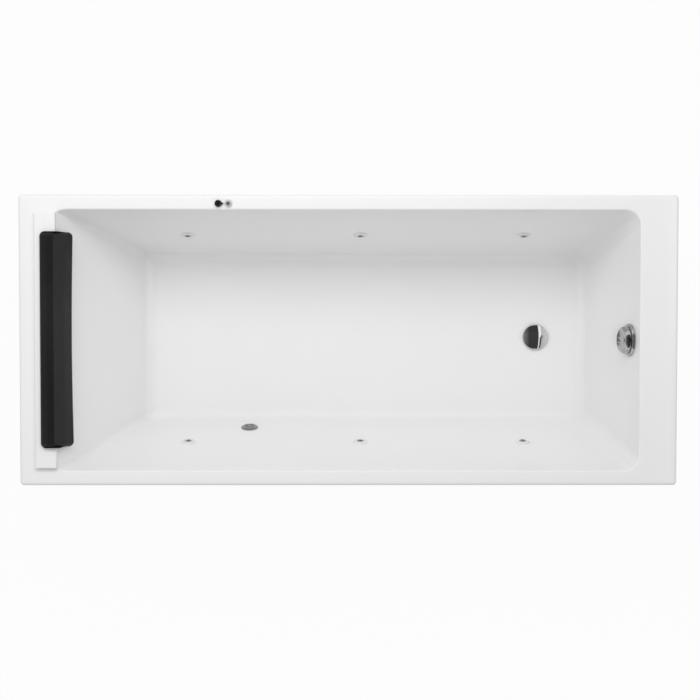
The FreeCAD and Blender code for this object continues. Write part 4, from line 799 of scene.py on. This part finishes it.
def make_jets():
    """Six rings as one piece, and a ball nozzle with three small vanes in each."""
    rings = bmesh.new()
    ring = soften([(11.1, -20), (14, -20), (14, 0), (19, 0), (19, 1.8, 1.2), (16.2, 4.0, 1.0),
                   (10.6, 4.0, 0.6), (9.9, 2.6, 0.3), (11.1, 1.0)], 0.3, closed=True)
    outline = [(4.0, -7.6), (6.8, -8.0, 0.5)]
    for k in range(13):
        turn = math.radians(-44 + 88 * k / 12)
        outline.append((11.0 * math.cos(turn), 11.0 * math.sin(turn)))
    outline += [(6.9, 8.0, 0.6), (5.0, 7.6), (4.0, 5.5, 0.6)]
    outline = soften(outline, 0.0, closed=True)
    places = [wall_place("side", x, JET_DROP, side) for side in (1, -1) for x in JET_X]
    for index, place in enumerate(places, 1):
        lathe(rings, ring, place, 64, closed=True)
        centre = place @ at(0, 0, -3)
        ball = bmesh.new()
        lathe(ball, outline, centre, 48, closed=True)
        for turn in turns(3):
            slab(ball, 3.4, 0.9, 1.0, 4.6, 0.2, 0.3, centre @ turn @ at(2.7))
        mesh = settled(ball, f"jet_ball_{index}", DARK_CHROME)
        show(f"jet_ball_{index}", mesh, f"jet_nozzle_{index}", "jet_chrome", f"jet_nozzle_{index}")
    show("jet_trim", settled(rings, "jet_trim", SATIN), "root", "jet_chrome", "jet_rings")


def make_suction():
    """Suction cover with eight slots."""
    bm = bmesh.new()
    profile = [(0, 0.5), (15, 0.5), (15, -14), (18, -14), (18, 0), (23.5, 0), (23.5, 2.6, 1.6),
               (19.0, 6.0, 2.5), (0, 6.0)]
    lathe(bm, soften(profile, 0.3), SUCTION, 64)
    cover = settled(bm, "suction_cover_body", SLATE)
    tool = bmesh.new()
    for turn in turns(8):
        prism(tool, rounded_rectangle(8.0, 3.0, 1.45), SUCTION @ turn @ at(10), -1.0, 8.0)
    cover = cut("suction_grille", cover, settled(tool, "suction_cutter", DARK_CHROME))
    show("suction_grille", cover, "root", "chrome", "suction_cover")


def make_controls():
    """Air dial with its knurl and lever, and the push button, hollow below so that its spring has room."""
    place = at(DIAL_X, CONTROL_Y, RIM)
    bm = bmesh.new()
    profile = [(0, -21), (3, -21), (3, 2.3), (8.8, 2.3, 0.4), (8.8, 8.4, 1.2), (7.0, 11.3, 1.0),
               (5.2, 10.7, 0.6), (0, 10.9)]
    lathe(bm, soften(profile, 0.3), place, 48)
    for turn in turns(24):
        slab(bm, 0.5, 1.1, 3.4, 7.8, 0.12, 0.2, place @ turn @ at(8.85), steps=2)
    slab(bm, 8.5, 4.0, 4.0, 8.0, 1.6, 1.0, place @ at(9.25))
    show("air_dial", settled(bm, "air_dial", BLACK_CHROME), "air_valve_dial", "chrome", "air_valve_dial")

    place = at(BUTTON_X, CONTROL_Y, RIM)
    bm = bmesh.new()
    profile = [(0, 0.2), (6, 0.2), (6, 6.0, 0.9), (4.9, 7.0, 0.5), (3.5, 6.7, 0.8), (0, 6.5)]
    lathe(bm, [(0, -0.7), (5.2, -0.7), (5.2, -4), (6, -4)] + soften(profile, 0.3)[1:], place, 48)
    show("push_button", settled(bm, "push_button", CHROME), "start_button", "chrome", "start_button")


make_overflow()
make_waste()
make_jets()
make_suction()
make_controls()


# ---------------------------------------------------------------- pump

def ring_prism(bm, outer, inner, place, low, high):
    """Straight tube between two 2D outlines of the same count."""
    spots = ((outer, low), (outer, high), (inner, high), (inner, low))
    rings = [[bm.verts.new(place @ Vector((p[0], p[1], z))) for p in outline] for outline, z in spots]
    for first, second in zip(rings, rings[1:] + rings[:1]):
        bridge(bm, first, second)


def make_motor(line):
    """Finned housing between its two end shields, on its foot and under the box's seat."""
    bm = bmesh.new()
    outer = []
    inner = []
    for k in range(FINS):
        for share, radius in ((-0.30, 54.0), (-0.17, 59.6), (0.17, 59.6), (0.30, 54.0)):
            turn = 2 * math.pi * (k + share) / FINS
            outer.append((radius * math.cos(turn), radius * math.sin(turn)))
            inner.append((40.0 * math.cos(turn), 40.0 * math.sin(turn)))
    ring_prism(bm, outer, inner, line, -34.0, 139.0)
    front = [(8.06, -45), (56, -45, 2.0), (60, -41, 2.0), (60, -33, 1.0), (8.06, -33)]
    back = [(8.06, 138), (60, 138, 1.0), (60, 150, 0.6), (8.06, 150)]
    for profile in (front, back):
        lathe(bm, soften(profile, 0.0, closed=True), line, 72, closed=True)
    slab(bm, 90.0, 130.0, 31.0, 66.0, 5.0, 2.0, at(PUMP.x, MOTOR_Y))
    slab(bm, 80.0, 90.0, 150.0, 171.0, 6.0, 0.8, at(PUMP.x, MOTOR_Y))
    mesh = settled(bm, "motor_housing", MOTOR, sharp=30.0)
    show("motor_housing", mesh, "root", "motor_paint", "pump_motor")


def make_fan_cover(line):
    """Cap over the fan, with two rows of slots."""
    bm = bmesh.new()
    profile = [(0, 183), (57, 183, 4.0), (57, 150.2), (60, 150.2), (60, 186, 6.0), (0, 186)]
    lathe(bm, soften(profile, 0.0), line, 72)
    cover = settled(bm, "fan_cover_body", BLACK, sharp=40.0)
    tool = bmesh.new()
    for count, radius, length in ((12, 19.0, 14.0), (24, 40.0, 18.0)):
        for turn in turns(count):
            prism(tool, rounded_rectangle(length, 3.0, 1.4, 3), line @ turn @ at(radius), 180.0, 190.0)
    cover = cut("fan_grille", cover, settled(tool, "fan_cover_cutter", BLACK), 40.0)
    show("fan_grille", cover, "root", "black_plastic", "fan_cover")


def make_volute(line):
    """Pump casing with its inlet, riser and collar, and the eight screws in its front."""
    bm = bmesh.new()
    profile = [(14.5, -125, 0.4), (18, -125, 0.4), (18, -105, 3.0), (60, -105, 4.0), (70, -98, 6.0),
               (70, -72, 0.6), (67.6, -72, 0.4), (67.6, -66, 0.4), (70, -66, 0.6), (70, -45, 1.0),
               (8.06, -45), (8.06, -49), (63, -49, 3.0), (63, -101, 6.0), (14.5, -101)]
    lathe(bm, soften(profile, 0.0, closed=True), line, 96, closed=True)
    riser = at(PUMP.x + 42.0, -75.0)
    tube = [(13.5, 152), (18, 152), (18, 185, 0.8), (13.5, 185, 0.5)]
    collar = [(18, 176), (20.5, 176, 0.6), (20.5, 185, 0.8), (18, 185)]
    for profile in (tube, collar):
        lathe(bm, soften(profile, 0.0, closed=True), riser, 48, closed=True)
    mesh = settled(bm, "volute_casing", BLACK, sharp=32.0)
    show("volute_casing", mesh, "root", "black_plastic", "pump_volute")
    bm = bmesh.new()
    for turn in turns(8, 22.5):
        spot = line @ turn @ at(52.0)
        lathe(bm, soften([(0, -110.5), (6.6, -110.5, 0.5), (6.6, -109.0), (0, -109.0)], 0.0), spot, 24)
        lathe(bm, [(0, -109.2), (4.4, -109.2), (4.4, -104.0), (0, -104.0)], spot, 6)
    show("volute_screws", settled(bm, "volute_screws", PLATED), "root", "zinc_fastener")


def make_terminal_box():
    """Box with its lid, the seal line between them and the feet under its corners."""
    bm = bmesh.new()
    spot = at(PUMP.x, MOTOR_Y)
    slab(bm, 78.0, 88.0, 171.0, 203.2, 5.0, 0.6, spot)
    slab(bm, 80.0, 90.0, 204.0, 216.0, 6.0, 2.5, spot)
    slab(bm, 74.0, 84.0, 202.5, 204.5, 4.0, 0.2, spot)
    for x in (-32, 32):
        for y in (-37, 37):
            slab(bm, 8.0, 8.0, 168.0, 171.2, 3.5, 0.2, spot @ at(x, y))
    show("terminal_housing", settled(bm, "terminal_housing", BLACK), "root", "black_plastic", "terminal_box")


def make_pump():
    """Motor with cooling fins, slotted fan cover, volute with its screws, and the box on top."""
    line = axes((PUMP.x, 0, PUMP.z), (0, 1, 0), (0, 0, 1))
    make_motor(line)
    make_fan_cover(line)
    make_volute(line)
    make_terminal_box()


make_pump()


# ---------------------------------------------------------------- carried-over pieces

def smooth_by_angle(degrees):
    """Geometry nodes that weld a carried-over mesh and shade it smooth up to an angle."""
    tree = bpy.data.node_groups.new(f"smooth_{degrees}", "GeometryNodeTree")
    tree.interface.new_socket("Geometry", in_out="INPUT", socket_type="NodeSocketGeometry")
    tree.interface.new_socket("Geometry", in_out="OUTPUT", socket_type="NodeSocketGeometry")
    enter = tree.nodes.new("NodeGroupInput")
    leave = tree.nodes.new("NodeGroupOutput")
    weld = tree.nodes.new("GeometryNodeMergeByDistance")
    weld.inputs["Distance"].default_value = 1e-6
    faces = tree.nodes.new("GeometryNodeSetShadeSmooth")
    faces.domain = "FACE"
    edges = tree.nodes.new("GeometryNodeSetShadeSmooth")
    edges.domain = "EDGE"
    edges.inputs["Shade Smooth"].default_value = False
    angle = tree.nodes.new("GeometryNodeInputMeshEdgeAngle")
    compare = tree.nodes.new("FunctionNodeCompare")
    compare.data_type = "FLOAT"
    compare.operation = "GREATER_THAN"
    compare.inputs[1].default_value = math.radians(degrees)
    link = tree.links.new
    link(enter.outputs[0], weld.inputs["Geometry"])
    link(weld.outputs["Geometry"], faces.inputs["Geometry"])
    link(faces.outputs["Geometry"], edges.inputs["Geometry"])
    link(angle.outputs["Unsigned Angle"], compare.inputs[0])
    link(compare.outputs["Result"], edges.inputs["Selection"])
    link(edges.outputs["Geometry"], leave.inputs[0])
    return tree


SMOOTH = smooth_by_angle(28)
DRESS = {
    "headrest_pegs": BLACK, "base_board": CHIPBOARD, "side_battens": TIMBER, "end_battens": TIMBER,
    "cross_rails": ZINC, "frame_screws": PLATED, "foot_studs": PLATED, "lock_nuts": PLATED,
    "foot_pad_1": BLACK, "foot_pad_2": BLACK, "foot_pad_3": BLACK, "foot_pad_4": BLACK,
    "waste_gasket": SEAL, "waste_body": PVC, "trap_body": PVC, "trap_cap": PVC,
    "overflow_body": PVC, "overflow_hose": HOSE, "popup_cable": SHEATH,
    "suction_body": GREY, "suction_hose": HOSE, "pump_rotor": BLACK, "pump_base": ZINC,
    "cable_gland": BLACK, "delivery_tee": PVC, "water_pipe_back": PVC, "water_pipe_front": PVC,
    "air_pipe": CLEAR, "air_hose": CLEAR, "air_valve_body": GREY, "start_button_body": PEARL,
    "button_spring": SPRING, "signal_tube": CLEAR,
}
DRESS.update({f"jet_body_{i}": GREY for i in range(1, 7)})
for name, material in DRESS.items():
    item = frame["nodes"][name]
    item.data.materials.clear()
    item.data.materials.append(material)
    item.modifiers.new("smooth", "NODES").node_group = SMOOTH


# ---------------------------------------------------------------- floor, light and camera

def seen_directly(tree):
    """1 for a ray of the camera or one that metal or glass sends on, 0 for the light's own rays."""
    path = tree.nodes.new("ShaderNodeLightPath")
    seen = path.outputs["Is Camera Ray"]
    for ray in ("Is Glossy Ray", "Is Transmission Ray"):
        either = tree.nodes.new("ShaderNodeMath")
        either.operation = "MAXIMUM"
        tree.links.new(seen, either.inputs[0])
        tree.links.new(path.outputs[ray], either.inputs[1])
        seen = either.outputs[0]
    return seen


def make_stage():
    """Pale floor that is seen almost white and keeps a faint shadow."""
    bm = bmesh.new()
    bmesh.ops.create_grid(bm, x_segments=2, y_segments=2, size=30000)
    floor = placed("floor", settled(bm, "floor"))
    paint = Paint("floor_paint", Roughness=0.9)
    paint.shader.inputs["Base Color"].default_value = (0.72, 0.72, 0.72, 1)
    glow = paint.node("ShaderNodeEmission")
    seen = paint.node("ShaderNodeMath", operation="MULTIPLY")
    seen.inputs[1].default_value = FLOOR_WHITE
    paint.link(seen_directly(paint.tree), seen.inputs[0])
    mix = paint.node("ShaderNodeMixShader")
    paint.link(seen.outputs[0], mix.inputs["Fac"])
    paint.link(paint.shader.outputs["BSDF"], mix.inputs[1])
    paint.link(glow.outputs["Emission"], mix.inputs[2])
    paint.link(mix.outputs["Shader"], paint.tree.nodes["Material Output"].inputs["Surface"])
    floor.data.materials.append(paint.material)


def flag(name, along, across, height):
    """Dark card over the tub, seen only in metal and gloss; it throws no shade."""
    bm = bmesh.new()
    corners = [(along[0], across[0]), (along[1], across[0]), (along[1], across[1]), (along[0], across[1])]
    bm.faces.new([bm.verts.new((x, y, height)) for x, y in corners])
    card = placed(name, settled(bm, name))
    paint = Paint(f"{name}_cloth", Roughness=1.0, Specular_IOR_Level=0.0)
    split = paint.node("ShaderNodeSeparateXYZ")
    paint.link(paint.mapped((-1, 1, 1)), split.inputs["Vector"])
    paint.colour(paint.ramp(split.outputs["X"], (0.0, 0.09), (1.0, 0.40)))
    card.data.materials.append(paint.material)
    card.visible_camera = False
    card.visible_diffuse = False
    card.visible_transmission = False
    card.visible_shadow = False


def make_world():
    """Sky for the light, dimmer near the horizon; the camera, metal and glass see plain white."""
    world = bpy.data.worlds.new("studio")
    bpy.context.scene.world = world
    world.use_nodes = True
    tree = world.node_tree
    link = tree.links.new
    sky = tree.nodes["Background"]
    where = tree.nodes.new("ShaderNodeTexCoord")
    split = tree.nodes.new("ShaderNodeSeparateXYZ")
    link(where.outputs["Generated"], split.inputs["Vector"])
    dome = tree.nodes.new("ShaderNodeMapRange")
    for socket, value in (("From Min", -0.05), ("From Max", 0.42), ("To Min", 0.25), ("To Max", 1.0)):
        dome.inputs[socket].default_value = value
    link(split.outputs["Z"], dome.inputs["Value"])
    link(dome.outputs["Result"], sky.inputs["Color"])
    sky.inputs["Strength"].default_value = SKY
    white = tree.nodes.new("ShaderNodeBackground")
    white.inputs["Color"].default_value = (1, 1, 1, 1)
    mix = tree.nodes.new("ShaderNodeMixShader")
    link(seen_directly(tree), mix.inputs["Fac"])
    link(sky.outputs["Background"], mix.inputs[1])
    link(white.outputs["Background"], mix.inputs[2])
    link(mix.outputs["Shader"], tree.nodes["World Output"].inputs["Surface"])


def lamp(name, place, target, size, power):
    """Soft lamp that is not seen itself, not even in metal."""
    data = bpy.data.lights.new(name, "AREA")
    data.shape = "RECTANGLE"
    data.size, data.size_y = size
    data.energy = power
    obj = placed(name, data)
    obj.location = place
    obj.rotation_mode = "QUATERNION"
    obj.rotation_quaternion = (Vector(target) - Vector(place)).to_track_quat("-Z", "Y")
    obj.visible_glossy = False
    obj.visible_camera = False


def make_camera():
    """The photo's view, from above the middle of the tub."""
    data = bpy.data.cameras.new("camera")
    data.sensor_width = SENSOR
    data.lens = SENSOR * FOCAL_RATIO
    data.clip_start = 0.1
    data.clip_end = 60.0
    camera = placed("camera", data)
    camera.location = (-0.02115, 0.08404, 3.88316)
    camera.rotation_euler = tuple(math.radians(v) for v in (-1.8704, -0.4067, 0.0350))
    bpy.context.scene.camera = camera


make_stage()
make_world()
lamp("key", (-0.3, 1.2, 2.7), (0.0, 0.0, 0.3), (2.4, 1.1), 32)
flag("dark_card", (-3500.0, 1450.0), (-5000.0, 2600.0), 3000.0)
flag("far_card", (1620.0, 5600.0), (-5000.0, -100.0), 3000.0)
make_camera()
bpy.context.scene.view_settings.view_transform = "Standard"
